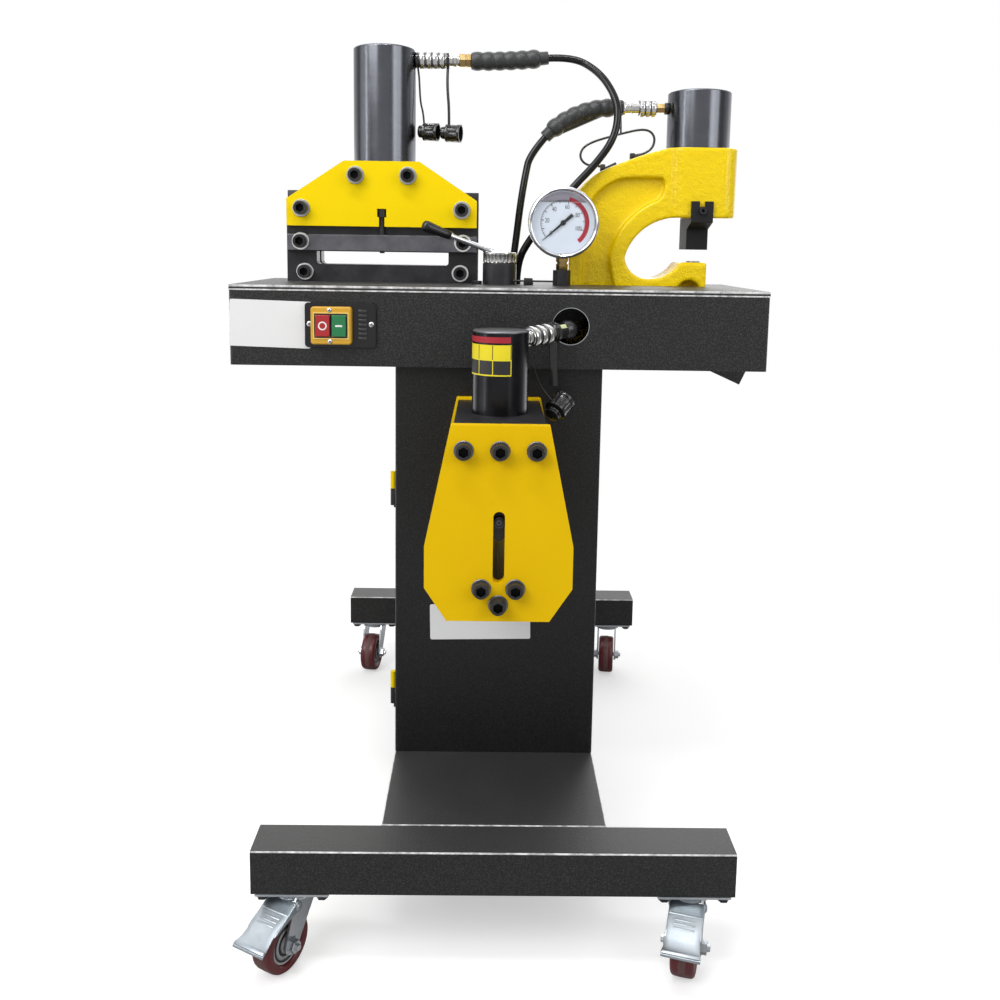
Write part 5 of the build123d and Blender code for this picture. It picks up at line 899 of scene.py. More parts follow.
dress(nut_a, brass, "machine", "zinc_steel")
foot_profile = [(0, -8), (7.9, -8), (7.9, 0), (8.8, 0.3), (9, 0.8), (9, 4.4), (8.6, 5.1), (0, 5.1)]
foot_a = turned("coupler_cutter_foot", foot_profile, cutter_port, (1, 0, 0), 40)
dress(foot_a, oxide, "machine", "black_steel")

foot_b = turned("coupler_punch_foot", foot_profile, punch_port, (-1, 0, 0), 40)
dress(foot_b, oxide, "machine", "black_steel")
nut_b = turned("coupler_punch_nut", [(0, 5), (6.6, 5), (7.6, 6), (7.6, 17.6), (6.6, 19), (0, 19)],
               punch_port, (-1, 0, 0), 6)
dress(nut_b, brass, "machine", "zinc_steel")
profile_b = [(0, 18.8), (9, 18.8)] + ringed(19, 45, 14.5, 3)
profile_b += [(8.6, 45.2), (8.5, 53), (9.3, 53.6), (9.3, 57), (8.5, 57.6), (8.5, 65.8), (11.6, 66.2),
              (12, 66.8), (12, 69.4), (11.4, 70), (0, 70)]
steel_b = turned("coupler_punch_body", profile_b, punch_port, (-1, 0, 0), 72)
flute(steel_b, punch_port, (-1, 0, 0), 19.5, 44.5, 14.2, 0.95, 18)
dress(steel_b, nickel, "machine", "zinc_steel", "coupler_punch")
oily(steel_b, punch_port, (-1, 0, 0), 20, 45.1, 12.6)
tail_b = turned("coupler_punch_tail", [(0, 69.8), (9.3, 69.8), (9.5, 70.4), (9.5, 83.4), (9, 84), (0, 84)],
                punch_port, (-1, 0, 0), 40)
dress(tail_b, oxide, "machine", "black_steel")

profile_c = [(0, -8), (7.9, -8), (7.9, 0.8), (8.5, 1.4), (8.5, 9.6), (9.5, 10.2), (9.5, 15.6)]
profile_c += ringed(16, 56, 14.5, 3) + [(10.6, 56.4), (10.6, 61), (9.8, 62), (0, 62)]
steel_c = turned("coupler_bender_body", profile_c, bender_port, port_way, 64)
dress(steel_c, nickel, "machine", "zinc_steel", "coupler_bender")
oily(steel_c, bender_port, port_way, 17, 56, 13.0)
boot = turned("coupler_bender_boot", [(0, 61), (11.4, 61), (12.2, 62), (12.2, 67), (11.2, 68), (11.2, 82),
                                      (10.6, 85), (12.2, 88), (13.4, 92), (13.6, 96), (12.6, 100),
                                      (10, 103.4), (6.2, 104), (0, 104)], bender_port, port_way, 48)
dress(boot, cap_rubber, "machine", "black_rubber")
across = port_way.cross(Vector((0, 0, 1))).normalized()
rise = across.cross(port_way)
outward = (across * cos(radians(40)) + rise * sin(radians(40))).normalized()
tag_turn = Matrix((port_way, outward.cross(port_way), outward)).transposed()
tag_at = (bender_port + port_way * 76 * MM + outward * 11.3 * MM - MIDDLE) / MM
tag = slab("hose_tag", (12, 6, 0.5), tag_at, 0.2, tag_turn)
dress(tag, pale_tag, "machine", "black_rubber")
print("couplers", [p.name for p in (steel_a, steel_b, steel_c)])

# %% [markdown]
# ## Dust caps
# When a hose is off, a rubber cap closes its coupler. While it is on, the cap hangs from a strap on a
# ring round the coupler. Each cap is a turned cup with a stepped nose and grip flutes.


# %% Caps on their straps
def hoop(name, place, way, radius):
    """A rubber ring round a coupler."""
    return turned(name, [(radius + 0.3, -2.4), (radius + 2.6, -2.4), (radius + 3.1, -1.9),
                         (radius + 3.1, 1.9), (radius + 2.6, 2.4), (radius + 0.3, 2.4),
                         (radius + 0.3, -2.4)], place, way, 40)


CUP = [(0, 0), (6.2, 0), (8.6, 0.6), (9.4, 1.6), (9.4, 2.8), (8.6, 3.2), (8.6, 3.8), (9.8, 4.2), (9.8, 6),
       (8.8, 6.5), (8.8, 7.2), (12.8, 8.2), (13.9, 8.8), (13.9, 12), (13.2, 12.6), (13.2, 13.6), (13.4, 19),
       (13.4, 26.4), (14, 27.4), (14, 30.4), (13.5, 31), (11.5, 31), (11.3, 28), (11.3, 14), (0, 13.4)]


def cup(name, centre, way, size=1.0):
    """A cap about a middle in millimetres, lying along a direction with its mouth at the far end."""
    base = spot(*centre) - Vector(way).normalized() * 15.5 * size * MM
    piece = turned(name, [(radius * size, height * size) for radius, height in CUP], base, way, 64)
    flute(piece, base, way, 13.2 * size, 26.9 * size, 12.6 * size, 0.935, 8)
    smooth(piece)
    return piece


lie = (1, -0.25, -0.05)
cap_1 = joined(cup("dust_cap_near", (-111.5, 435, 1069.5), lie),
               hoop("ring", spot(-128.4, 435, 1175), (1, 0, 0), 9),
               strap("string", [(-128, 434, 1164.5), (-126, 433, 1154), (-125, 432, 1136),
                                (-123.5, 431, 1112), (-119, 431, 1096), (-118, 432, 1081)], 1.5))
dress(cap_1, cap_rubber, "machine", "black_rubber", "dust_caps")
cap_2 = joined(cup("dust_cap_far", (-77, 435, 1068), lie),
               hoop("ring", spot(-82.4, 435, 1175), (1, 0, 0), 9),
               strap("string", [(-82.4, 434, 1164.5), (-83, 433, 1150), (-82.5, 432, 1130),
                                (-80, 431, 1104), (-80, 432, 1080)], 2.1))
dress(cap_2, cap_rubber, "machine", "black_rubber")
ring_c = bender_port + port_way * 65 * MM
cap_3 = joined(cup("dust_cap_bender", (80, 201, 682), (0.55, 0.6, 0.58), 1.12),
               hoop("ring", ring_c, port_way, 11.6),
               slab("band", (10, 1.8, 66), (72.6, 203.3, 744), 0.7, Matrix.Rotation(radians(-2.4), 3, "Y")),
               strap("string", [(41.4, 190, 761), (45, 191.5, 738), (54, 195, 714), (66, 198, 698),
                                (73, 199, 690)], 1.3))
dress(cap_3, cap_rubber, "machine", "black_rubber")
loop = [(203, 440, 1037), (206, 440, 1040), (221, 440, 1042), (235, 440, 1052), (237, 440, 1070),
        (222, 440, 1081), (180, 440, 1071), (130, 440, 1056), (120, 440, 1037), (132, 440, 1023),
        (157, 440, 1023), (158, 440, 1019)]
tether = joined(strap("punch_tether", loop, 1.9), hoop("ring", spot(183, 440, 1110.5), (1, 0, 0), 9.5),
                strap("string", [(183, 440, 1099), (183.5, 440, 1090), (184, 440, 1080), (184, 440, 1071)],
                      1.5))
dress(tether, cap_rubber, "machine", "black_rubber")


def skin_height(x):
    """Height of the casting's upper skin on its middle line, in millimetres."""
    place = spot(x, 440, 0)
    points = [vertex.co for vertex in casting.data.vertices]
    near = [p.z for p in points if abs(p.x - place.x) < 1.6 * MM and abs(p.y - place.y) < 3 * MM]
    return max(near) / MM


tabs = []
for x, reach in ((157.5, 26), (203, 18)):
    slope = atan2(skin_height(x + 12) - skin_height(x - 2), 14)
    tabs.append(slab("tether_tabs", (8, 7, 11), (x, 440, skin_height(x) + 4), 1.4))
    middle = x + 0.35 * reach
    lean = Matrix.Rotation(-slope, 3, "Y")
    tabs.append(slab("strip", (reach, 7, 5), (middle, 440, skin_height(middle) + 1.8), 0.9, lean))
dress(joined(*tabs), sleeve_rubber, "machine", "black_rubber")
print("caps hung")

print("cords", len(hoses))

# %% [markdown]
# ## Pressure gauge
# The case is spun steel with a polished bezel. The dial behind the glass has a scale from 0 to 100 over
# two thirds of a turn, with a red band beside its upper part. Ticks and figures are thin solids, so that
# they stay sharp at any distance. The case is filled with damping oil, whose surface shows as a line.

# %% Case and dial
GAUGE = Vector((92, 355, 933))
GAUGE_HALF = 18
gauge_back = spot(GAUGE.x, GAUGE.y + GAUGE_HALF, GAUGE.z)
case = turned("gauge_shell", [(0, 0), (44, 0), (47.5, 1), (48.6, 3.5), (48.6, 21), (50.6, 22), (52, 23.5),
                              (52, 32), (51.3, 34.2), (49.8, 35.6), (48.2, 36), (46.8, 35.2), (46.2, 33.6),
                              (46, 31), (46, 22), (0, 22)], gauge_back, (0, -1, 0), 96)
dress(case, chrome, "machine", "chrome", "gauge_case")
dial = turned("gauge_dial", [(0, 21.9), (45.6, 21.9), (45.6, 22.4), (0, 22.5)], gauge_back, (0, -1, 0), 72)
dress(dial, dial_white, "machine", "yellow_plastic")
stem = turned("gauge_stem", [(0, 0), (8.2, 0), (8.8, 0.8), (8.8, 9), (7.4, 9.6), (7.4, 12), (9, 12.6),
                             (9, 24), (0, 24)], spot(GAUGE.x, GAUGE.y, 863.8), (0, 0, 1), 6)
dress(stem, brass, "machine", "zinc_steel")
pipe = joined(turned("gauge_pipe", [(0, 0), (1.4, 0), (1.4, 61), (0, 61)], spot(20, 367, 847),
                     (1, -0.16, 0), 20),
              slab("tee", (13, 11, 10.6), (42.8, 363.4, 846.2), 1.2))
dress(pipe, black_plastic, "machine", "black_steel")


def dial_angle(value):
    """Turn of a reading on the dial, clockwise from straight up."""
    return radians(-131 + 2.41 * value)


def on_dial(radius, value, proud):
    turn = dial_angle(value)
    return spot(GAUGE.x + radius * sin(turn), GAUGE.y - 4.4 - proud, GAUGE.z + radius * cos(turn))


print("gauge case", tuple(round(v, 3) for v in case.dimensions))

# %% Ticks, figures and red band
SCALE_RADIUS = 32.6
ticks = []
for reading in range(0, 101, 2):
    long = reading % 10 == 0
    inner, outer = (28.6 if long else 30.4), SCALE_RADIUS
    tick = cube("tick")
    tick.scale = ((1.2 if long else 0.6) * MM, 0.2 * MM, (outer - inner) * MM)
    tick.rotation_euler = (0, dial_angle(reading), 0)
    tick.location = on_dial((inner + outer) / 2, reading, 0.15)
    applied(tick)
    ticks.append(tick)
for reading in range(0, 101, 20):
    bpy.ops.object.text_add(location=(0, 0, 0))
    figure = bpy.context.object
    figure.data.body = str(reading)
    figure.data.size = 9.4 * MM
    figure.data.align_x = "CENTER"
    figure.data.align_y = "CENTER"
    figure.data.extrude = 0.1 * MM
    bpy.ops.object.convert(target="MESH")
    figure = bpy.context.object
    figure.scale = (0.72, 1, 1)
    figure.rotation_euler = (radians(90), 0, 0)
    figure.location = on_dial(23.8, reading, 0.15)
    applied(figure)
    ticks.append(figure)
scale_print = joined(*ticks)
scale_print.name = "gauge_scale"
dress(scale_print, black_mark, "machine", "black_plastic")


def dial_arc(name, inner, outer, start, end, proud, finish, slot):
    """A printed arc on the dial between two radii and two readings."""
    arc = seed(name)
    first, second = on_dial(inner, start, proud), on_dial(outer, start, proud)
    bpy.ops.transform.translate(value=first)
    bpy.ops.mesh.extrude_vertices_move(TRANSFORM_OT_translate={"value": second - first})
    bpy.ops.mesh.select_all(action="SELECT")
    bpy.ops.mesh.spin(steps=48, angle=dial_angle(start) - dial_angle(end), center=spot(*GAUGE),
                      axis=(0, 1, 0))
    bpy.ops.object.mode_set(mode="OBJECT")
    modify(arc, "SOLIDIFY", thickness=0.15 * MM)
    dress(arc, finish, "machine", slot)


dial_arc("gauge_red_band", 32.0, 38.4, 60, 112, 0.2, red_mark, "red_plastic")
dial_arc("gauge_scale_line", SCALE_RADIUS, SCALE_RADIUS + 0.6, 0, 60, 0.15, black_mark, "black_plastic")
print("dial printed", len(ticks))

# %% Damping oil
OIL_LEVEL = 30.0
# Above the oil a darker sheet covers the dial: painted shade.
air = turned("gauge_air", [(0, 22.45), (45.4, 22.45), (45.4, 22.52), (0, 22.6)], gauge_back, (0, -1, 0), 72)
bpy.ops.object.mode_set(mode="EDIT")
bpy.ops.mesh.select_all(action="SELECT")
bpy.ops.mesh.bisect(plane_co=spot(GAUGE.x, GAUGE.y, GAUGE.z + OIL_LEVEL), plane_no=(0, 0, 1), use_fill=True,
                    clear_inner=True)
bpy.ops.object.mode_set(mode="OBJECT")
dress(air, dial_shade_above_oil, "machine", "black_plastic")
oil = slab("gauge_oil_line", (66, 0.2, 0.8), (GAUGE.x, GAUGE.y - 4.9, GAUGE.z + OIL_LEVEL), 0.08)
dress(oil, hub_grey, "machine", "black_plastic")
print("oil level", OIL_LEVEL)

# %% Pointer
POINTER_SUNK = 11
pointer_at = spot(GAUGE.x, GAUGE.y - GAUGE_HALF + POINTER_SUNK, GAUGE.z)
pointer = cube("gauge_hand")
bpy.ops.object.mode_set(mode="EDIT")
bpy.ops.mesh.select_all(action="SELECT")
bpy.ops.transform.resize(value=(2.4 * MM, 0.8 * MM, 58 * MM))
bpy.ops.transform.translate(value=(0, 0, 11 * MM))
pick(pointer, lambda vertex: vertex.co.z > 0)
bpy.ops.transform.resize(value=(0.3, 1, 1), center_override=(0, 0, 0))
pick(pointer, lambda vertex: vertex.co.z < 0)
bpy.ops.transform.resize(value=(2.2, 1, 1), center_override=(0, 0, 0))
bpy.ops.object.mode_set(mode="OBJECT")
pointer.matrix_world = Matrix.Translation(pointer_at) @ Matrix.Rotation(dial_angle(0), 4, "Y")
applied(pointer)
hub = turned("gauge_hub", [(0, -1), (4, -1), (4, 0.4), (3.4, 1.2), (0, 1.4)], pointer_at, (0, -1, 0), 32)
pointer = joined(pointer, hub)
dress(pointer, black_mark, "pointer", "black_plastic", "gauge_pointer")
NODES["gauge_lens"].data.materials.clear()
NODES["gauge_lens"].data.materials.append(glass.material)
print("pointer at zero")

# %% [markdown]
# ## Valve lever
# The lever turns a fluted collar on the valve. Its rod leaves the collar at a slant and ends in a dark
# turned grip that grows towards its rounded end, with a bright ring at its neck.

# %% Lever, collar and grip
VALVE = (0, 385)
rise, azimuth = radians(19), radians(200)
lever_way = Vector((cos(azimuth) * cos(rise), sin(azimuth) * cos(rise), sin(rise)))
collar_base = spot(*VALVE, 873.3)
collar = turned("lever_collar", [(6.1, 0), (24.4, 0), (25.3, 0.9), (25.3, 11), (25.5, 12.2), (25, 14.8),
                                 (23.6, 15.7), (0, 15.7), (0, 12), (6.1, 12), (6.1, 0)], collar_base,
                (0, 0, 1), 96)
flute(collar, collar_base, (0, 0, 1), 0.5, 11.5, 24.8, 0.945, 24)
dress(collar, nickel, "lever", "chrome", "valve_lever")
rod_base = spot(*VALVE, 885) + lever_way * 12 * MM
rod = turned("lever_rod", [(0, 0), (5.6, 0), (5.6, 13), (4.4, 15), (4, 16), (4, 68), (5.6, 68.4),
                           (5.6, 71.4), (0, 71.6)], rod_base, lever_way, 32)
dress(rod, chrome, "lever", "chrome")
grip = turned("lever_grip", [(0, 71), (5.6, 71), (6.2, 71.8), (6.5, 80), (7.6, 96), (8.6, 106),
                             (8.5, 110.6), (7.5, 114), (5, 116), (2, 116.7), (0, 116.8)], rod_base,
              lever_way, 40)
dress(grip, gloss_black, "lever", "black_plastic")
print("lever", tuple(round(v, 3) for v in grip.dimensions))

# %% [markdown]
# ## Cap screws
# Fourteen black cap screws on washers hold the tool plates, and a small one holds the stripper. Each head
# is a cylinder with a knurled rim, a chamfer and a hexagon socket. The socket is cut once by a Boolean,
# and the finished head is stamped at every place.


# %% Socket head screws
def screw_heads(name, rim, height, key_radius, places):
    """Heads with sockets towards -Y and their seats at places. The sockets are painted near black: painted
    shade.
    """
    head = turned(name, [(0, 0), (rim, 0), (rim, height * 0.1), (rim, height * 0.84), (rim * 0.93, height),
                         (0, height)], Vector((0, 0, 0)), (0, -1, 0), 96)
    flute(head, Vector((0, 0, 0)), (0, -1, 0), -0.1, height * 0.86, rim * 0.95, 0.965, 48)
    bpy.ops.object.select_all(action="DESELECT")
    bpy.ops.mesh.primitive_cylinder_add(vertices=6, radius=key_radius, depth=height * MM * 1.2,
                                        location=(0, 0, 0))
    key = bpy.context.object
    key.scale = (MM, MM, 1)
    key.rotation_euler = (radians(90), 0, 0)
    key.location = (0, -height * MM * 1.05, 0)
    applied(key)
    modify(head, "BOOLEAN", object=key, operation="DIFFERENCE", solver="EXACT")
    bpy.data.objects.remove(key)
    smooth(head, 30)
    narrow, deep = key_radius * 0.99 * MM, -height * 0.98 * MM
    inside = {face.index for face in head.data.polygons
              if face.center.xz.length < narrow and face.center.y > deep}
    count = len(head.data.polygons)
    heads = dress(stamped(head, places), oxide, "machine", "black_steel")
    heads.data.materials.append(socket_shade_black.material)
    for face in heads.data.polygons:
        face.material_index = int(face.index % count in inside)
    return heads


def washers(name, rim, bore, thick, places, finish):
    ring = turned(name, [(bore, 0), (rim - 0.5, 0), (rim, 0.5), (rim, thick - 0.6), (rim - 0.6, thick),
                         (bore, thick), (bore, 0)], Vector((0, 0, 0)), (0, -1, 0), 64)
    return dress(stamped(ring, places), finish, "machine", "zinc_steel")


CUTTER_AXIS, TABLE_TOP = -178, 841
WASHER = 2.5
seats_a = [(-39, 385, 158.5), (39, 385, 158.5), (-120, 385, 109), (120, 385, 109), (-122, 388, 60),
           (122, 388, 60), (-118, 400, 14.6), (118, 400, 14.6)]
seats_b = [(-43, 659), (0, 659), (43, 659), (-20.5, 491), (20.5, 491), (0, 471)]
places_a = [spot(CUTTER_AXIS + x, y, TABLE_TOP + z) for x, y, z in seats_a]
places_b = [spot(x, 15, z) for x, z in seats_b]
washer = Vector((0, -WASHER * MM, 0))
heads_a = screw_heads("cutter_screw_heads", 10.2, 11.9, 6.6, [place + washer for place in places_a])
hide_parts("socket_screws")
screw_heads("bender_screw_heads", 9.75, 11.05, 6.5, [place + washer for place in places_b])
screw_heads("stripper_screw_head", 5.5, 5.1, 3, [spot(303.5, 384, 954.8)])
washers("plate_washers", 13.2, 7.4, WASHER, places_a[:4], zinc)
washers("side_washers", 13.2, 7.4, WASHER, places_a[4:], bright_zinc)
washers("bender_washers", 12, 6.9, WASHER, places_b, ground)
print("screw heads", len(seats_a) + len(seats_b) + 1)

# %% [markdown]
# ## Start and stop switch
# A glossy black plate on the apron carries a yellow moulding with a red stop key and a green start key in
# dark wells. Their marks are the plain circle and bar that every such switch has. Four small cross-head
# screws hold it, and a ribbed field stands at the right.


# %% Switch
def well(name, low, high, y, border, wide, finish, thick=0.2):
    """A frame round a key on the face of the moulding: its distance from the key outside, and its width."""
    piece = plane(name)
    piece.scale = (high.x - low.x + 2 * border * MM, high.z - low.z + 2 * border * MM, 1)
    piece.rotation_euler = (radians(90), 0, 0)
    piece.location = ((low.x + high.x) / 2, y, (low.z + high.z) / 2)
    applied(piece)
    bpy.ops.object.mode_set(mode="EDIT")
    bpy.ops.mesh.select_all(action="SELECT")
    bpy.ops.mesh.inset(thickness=wide * MM)
    bpy.ops.mesh.delete(type="FACE")
    bpy.ops.object.mode_set(mode="OBJECT")
    modify(piece, "SOLIDIFY", thickness=thick * MM, offset=0.0)
    return dress(piece, finish, "machine", "black_plastic")


def cross_screw(name, x, y, z, radius):
    """A small pan head with a cross recess drawn by two dark bars: painted shade in place of a cut recess.
    """
    head = turned(name, [(0, -0.5), (radius, -0.5), (radius, 0.5), (radius * 0.8, 1.3), (radius * 0.4, 1.7),
                         (0, 1.8)], spot(x, y, z), (0, -1, 0), 28)
    dress(head, zinc, "machine", "zinc_steel")
    bars = joined(slab(name + "_cross", (radius * 1.1, 0.5, 0.7), (x, y - 1.7, z), 0.1,
                       Matrix.Rotation(0.6, 3, "Y")),
                  slab("bar", (0.7, 0.5, radius * 1.1), (x, y - 1.7, z), 0.1, Matrix.Rotation(0.6, 3, "Y")))
    dress(bars, black_mark, "machine", "black_plastic")


softened("switch_plate", gloss_black, "black_plastic", 0.8)
softened("switch_bezel", yellow_plastic, "yellow_plastic", 0.6)
softened("stop_button", red_plastic, "red_plastic", 0.5)
softened("start_button", green_plastic, "green_plastic", 0.5)
stop_low, stop_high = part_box("stop_button")
start_low, start_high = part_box("start_button")
stop_mid = (stop_low + stop_high) / 2
start_mid = (start_low + start_high) / 2
bezel_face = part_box("switch_bezel")[0].y
# Each key sits in a dark frame drawn on the moulding: partly the gap round the key, partly painted shadow.
well("stop_well", stop_low, stop_high, bezel_face - 0.08 * MM, 1.9, 1.55, black_mark)
well("start_well", start_low, start_high, bezel_face - 0.08 * MM, 1.9, 1.55, black_mark)
# The frame round both keys takes the paler yellow: a painted highlight on the raised lip.
well("switch_lip", stop_low, start_high, bezel_face - 0.3 * MM, 3.5, 1.3, lip_highlight_plastic, 0.9)
ring = turned("stop_mark", [(4.1, -0.1), (5.9, -0.1), (5.9, 0.15), (4.1, 0.15), (4.1, -0.1)],
              Vector((stop_mid.x, stop_low.y, stop_mid.z)), (0, -1, 0), 40)
dress(ring, white_mark, "stop", "red_plastic")
start_at = (Vector((start_mid.x, start_low.y, start_mid.z)) - MIDDLE) / MM
bar = slab("start_mark", (9.4, 0.3, 2.4), start_at, 0.1)
dress(bar, white_mark, "start", "green_plastic")
SWITCH_SCREWS = ((-230.6, 214, 808.6, 3.2), (-229.8, 214, 766.4, 3.2), (-259.4, 226, 789.1, 3.8),
                 (-175.3, 226, 789, 3.8))
for k, (x, y, z, radius) in enumerate(SWITCH_SCREWS):
    cross_screw("switch_screw_%d" % (k + 1), x, y, z, radius)
# The ribs take the lighter grey plastic: a painted highlight.
ribs = joined(*[slab("switch_ribs", (12, 2.4, 3.8), (-187, 225.6, 770 + 6.2 * k), 1.0) for k in range(7)])
dress(ribs, rib_highlight_plastic, "machine", "black_plastic")
print("switch marked")

# %% [markdown]
# ## Blank stickers
# The apron and the column carry plain white vinyl rectangles, and the bender's cylinder a wrapped one
# with red, yellow and dark fields. They stay blank. A sticker is a sheet a fifth of a millimetre thick.


# %% Stickers
BENDER_AXIS = (0, 132.5)


def sticker(name, x, y, z, width, height, tilt=0.0):
    sheet = plane(name)
    sheet.scale = (width * MM, height * MM, 1)
    applied(sheet)
    bpy.ops.object.mode_set(mode="EDIT")
    bpy.ops.mesh.select_all(action="SELECT")
    bpy.ops.mesh.bevel(offset=2.5 * MM, segments=5, affect="VERTICES")
    bpy.ops.object.mode_set(mode="OBJECT")
    sheet.matrix_world = (Matrix.Translation(spot(x, y, z)) @ Matrix.Rotation(radians(tilt), 4, "Y")
                          @ Matrix.Rotation(radians(90), 4, "X"))
    applied(sheet)
    modify(sheet, "SOLIDIFY", thickness=0.2 * MM, offset=0.0)
    return dress(sheet, vinyl, "machine", "black_paint")


def wrapped(name, radius, low, high, start, end, finish):
    """A field of a label round the bender's cylinder, between azimuths from the front towards the right."""
    base = spot(*BENDER_AXIS, 0)
    shell = turned(name, [(radius, low), (radius, high)], base, (0, 0, 1), max(3, round((end - start) / 4)),
                   end - start)
    turn = Matrix.Rotation(radians(end + 90), 4, "Z")
    shell.matrix_world = Matrix.Translation(base) @ turn @ Matrix.Translation(-base)
    applied(shell)
    modify(shell, "SOLIDIFY", thickness=0.12 * MM, offset=0.0)
    smooth(shell)
    return dress(shell, finish, "machine", "black_steel")


sticker("apron_sticker", -313.5, 229.85, 788, 111, 64, 1.5)
sticker("column_sticker", -22, 249.85, 359, 145, 53, -1.0)
wrapped("label_red", 36.15, 778, 785.5, -88, 20, red_mark)
wrapped("label_yellow", 36.12, 736.6, 775.6, -90, 22, yellow_mark)
for k, (start, end) in enumerate(((-88, -49), (-47, -17), (-15, 20))):
    wrapped("label_dark_%d" % (k + 1), 36.2, 738.4, 755.8, start, end, black_mark)
    wrapped("label_line_%d" % (k + 1), 36.2, 757.4, 775, end - 0.2, end + 1.4, black_mark)
rim = turned("bender_cylinder_rim", [(33.2, 0), (34.8, 0), (35.6, -0.6), (36.1, -1.6), (36.1, -2.2),
                                     (35.2, -2.2), (33.2, -0.4), (33.2, 0)], spot(*BENDER_AXIS, 792.1),
             (0, 0, 1), 72)
dress(rim, ground, "machine", "black_steel")
print("stickers on")

# %% [markdown]
# ## Casters
# A caster is a zinc fork on a ball race with a wine-red wheel of polyurethane on a bearing hub. The front
# two have a pressed brake pedal: a steep first part, a bend, a tread with three ridges and a rolled lip.
# Rolling has worn a grey band round the middle of each tread.

# %% Caster forks and wheels
CASTERS = {"front_left": (-250, 30, -30), "front_right": (250, 30, -18), "rear_left": (-250, 934, -10),
           "rear_right": (250, 934, -8)}
for name, (x, y, turn) in CASTERS.items():
    softened("fork_" + name, zinc, "zinc_steel", 0.6)
    race = turned("race_" + name, [(20, 88.6), (24.6, 88.6), (26, 89.8), (26, 91.6), (24.8, 92.6),
                                   (24.8, 93.4), (27.4, 94.2), (28, 95.2), (28, 96.2), (27.4, 96.7),
                                   (20, 96.7), (20, 88.6)], spot(x, y, 0), (0, 0, 1), 56)
    dress(race, zinc, "swivel_" + name, "zinc_steel")
    side = Vector((cos(radians(turn)), sin(radians(turn)), 0))
    hub = spot(x + 30 * sin(radians(turn)), y - 30 * cos(radians(turn)), 37.5)
    nut = [(0, 19.4), (10.5, 19.4), (10.5, 20.6), (8.6, 20.7), (8.6, 26), (7.8, 26.8), (4.2, 26.9),
           (4.2, 30), (3.6, 30.6), (0, 30.6)]
    nuts = joined(turned("axle_nuts_" + name, nut, hub, side, 6), turned("nut", nut, hub, -side, 6))
    dress(nuts, zinc, "swivel_" + name, "zinc_steel")
    body = "roller_" + name
    tread = turned("tread_" + name, [(25.5, -10.5), (27.5, -14.2), (29, -15), (33, -15), (35.2, -14.2),
                                     (36.8, -12.2), (37.4, -9.5), (37.5, -7), (37.5, 7), (37.4, 9.5),
                                     (36.8, 12.2), (35.2, 14.2), (33, 15), (29, 15), (27.5, 14.2),
                                     (25.5, 10.5), (25.5, -10.5)], hub, side, 72)
    dress(tread, wheel_red, body, "wheel_red", "wheel_" + name)
    core = turned("core_" + name, [(4.1, -15), (11, -15), (12, -14), (12.4, -11.6), (18, -11), (19, -10),
                                   (20.5, -10), (21.5, -11), (25.6, -11.4), (25.6, 11.4), (21.5, 11),
                                   (20.5, 10), (19, 10), (18, 11), (12.4, 11.6), (12, 14), (11, 15),
                                   (4.1, 15), (4.1, -15)], hub, side, 56)
    dress(core, hub_grey, body, "wheel_red")
    shields = [turned("shield", [(r, h), (r + w, h), (r + w, h + 0.6), (r, h + 0.6), (r, h)], hub, way, 56)
               for way in (side, -side) for r, w, h in ((12.6, 3.4, 11.1), (20.4, 2.6, 10.9))]
    grooves = joined(*shields)
    grooves.name = "bearing_grooves_" + name
    dress(grooves, black_mark, body, "wheel_red")
    band = turned("worn_band_" + name, [(37.2, -5), (37.55, -4.4), (37.6, 0), (37.55, 4.4), (37.2, 5),
                                        (37.2, -5)], hub, side, 72)
    dress(band, worn_tread, body, "wheel_red")
print("casters", len(CASTERS))


# %% Brake pedals
def cheek(rows, x, sheet):
    """A flat side plate through (y, z) points in millimetres, standing at x."""
    piece = seed("cheek")
    draw([(x, y, z) for y, z in rows])
    bpy.ops.mesh.select_all(action="SELECT")
    bpy.ops.mesh.edge_face_add()
    bpy.ops.object.mode_set(mode="OBJECT")
    modify(piece, "SOLIDIFY", thickness=sheet * MM, offset=0.0)
    modify(piece, "BEVEL", limit_method="ANGLE", angle_limit=radians(60), width=0.4 * MM, segments=2)
    smooth(piece, 24)
    return piece


TREAD = [(-23, 89.6, 40), (-30, 85.6, 43), (-37.4, 81, 43.4), (-39, 80.2, 43.4), (-47, 77.2, 42.6),
         (-57, 72.6, 41), (-66, 67.2, 41), (-74, 62.8, 43), (-80, 61, 46), (-84.4, 60.2, 47.6),
         (-86.6, 58.6, 48), (-87.4, 56.2, 47)]
CHEEK = [(-13, 83), (-13.6, 86), (-16, 89.4), (-20, 90.6), (-24, 89.4), (-38, 81), (-48, 77), (-58, 72.4),
         (-64, 69), (-58, 68.6), (-47, 72), (-36, 75), (-24, 77), (-20, 76), (-16, 77.4), (-13.6, 80)]
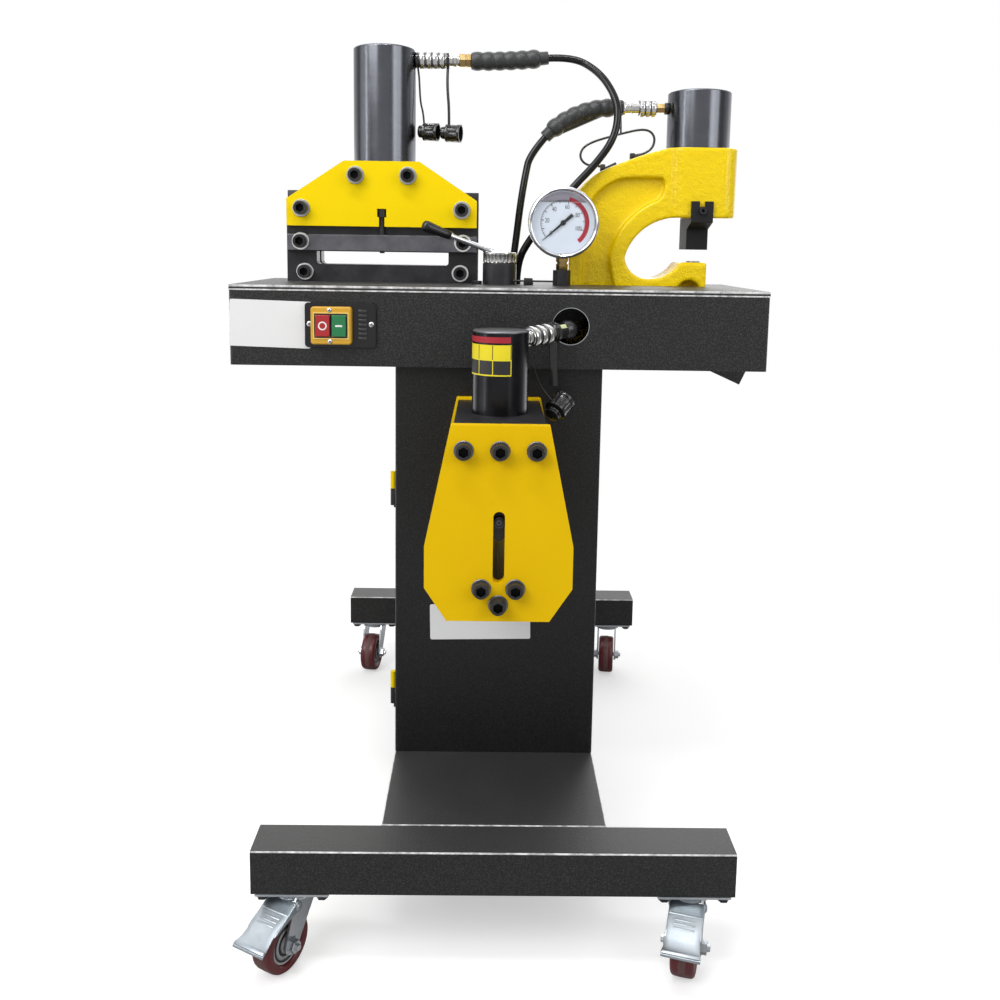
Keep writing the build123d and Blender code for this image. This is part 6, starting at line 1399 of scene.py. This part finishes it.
# The steep upper part of each pedal, down to this line and within this half width, takes the darker zinc:
# painted shade.
SHADE_END, SHADE_HALF = -37.6, 19.6
RIDGE_LEAN = Matrix.Rotation(radians(24), 3, "X")
for name in ("front_left", "front_right"):
    x, y, turn = CASTERS[name]
    parts = [folded("brake_pedal_" + name, TREAD, 2.0), cheek(CHEEK, -20.8, 2.0), cheek(CHEEK, 20.8, 2.0)]
    for row_y, row_z, wide, thick in ((-38.4, 81.2, 42, 1.8), (-45.5, 78.6, 26, 1.4),
                                      (-50.5, 76.6, 26, 1.4), (-55.5, 74.2, 26, 1.4), (-84, 60.4, 47, 5.0)):
        ridge = slab("ridge", (wide, thick + 1, thick), (0, row_y, row_z), thick * 0.42, RIDGE_LEAN)
        ridge.location = -MIDDLE
        applied(ridge)
        parts.append(ridge)
    for side in (-1, 1):
        parts.append(turned("rivet", [(0, 21), (5, 21), (5, 22.4), (4, 23.4), (2, 23.9), (0, 24)],
                            Vector((0, -20, 83)) * MM, (side, 0, 0), 28))
    pedal = joined(*parts)
    pedal_shade_faces = [face.index for face in pedal.data.polygons
                     if face.center.y > SHADE_END * MM and abs(face.center.x) < SHADE_HALF * MM]
    pedal.matrix_world = Matrix.Translation(spot(x, y, 0)) @ Matrix.Rotation(radians(turn), 4, "Z")
    applied(pedal)
    dress(pedal, passivated, "brake_" + name, "zinc_steel", "pedal_" + name)
    pedal.data.materials.append(pedal_shade.material)
    for index in pedal_shade_faces:
        pedal.data.polygons[index].material_index = 1
print("pedals pressed")

# %% [markdown]
# ## Light
# Three large soft lamps shine through the tent: one high on the left, a weaker one on the right, and one
# behind that draws a bright line along the upper edges. A ceiling tube in front makes small glints.


# %% Soft lamps
def lamp(name, place, aim, size, power, tall=None):
    bpy.ops.object.light_add(type="AREA", location=place)
    light = bpy.context.object
    light.name = name
    light.data.shape = "RECTANGLE"
    light.data.size = size
    light.data.size_y = tall or size
    light.data.energy = power
    light.rotation_euler = (Vector(aim) - Vector(place)).to_track_quat("-Z", "Y").to_euler()


lamp("tent_left", (-1.7, -2.0, 2.4), (0, 0, 0.7), 1.6, 44)
lamp("tent_right", (2.0, -1.7, 1.8), (0, 0, 0.7), 1.6, 18)
lamp("tent_back", (0.4, 2.2, 2.4), (0, 0, 0.8), 1.8, 22)
lamp("ceiling_tube", (-0.3, -0.9, 2.5), (0, 0, 0.7), 1.2, 14, 0.08)
print("lamps lit")
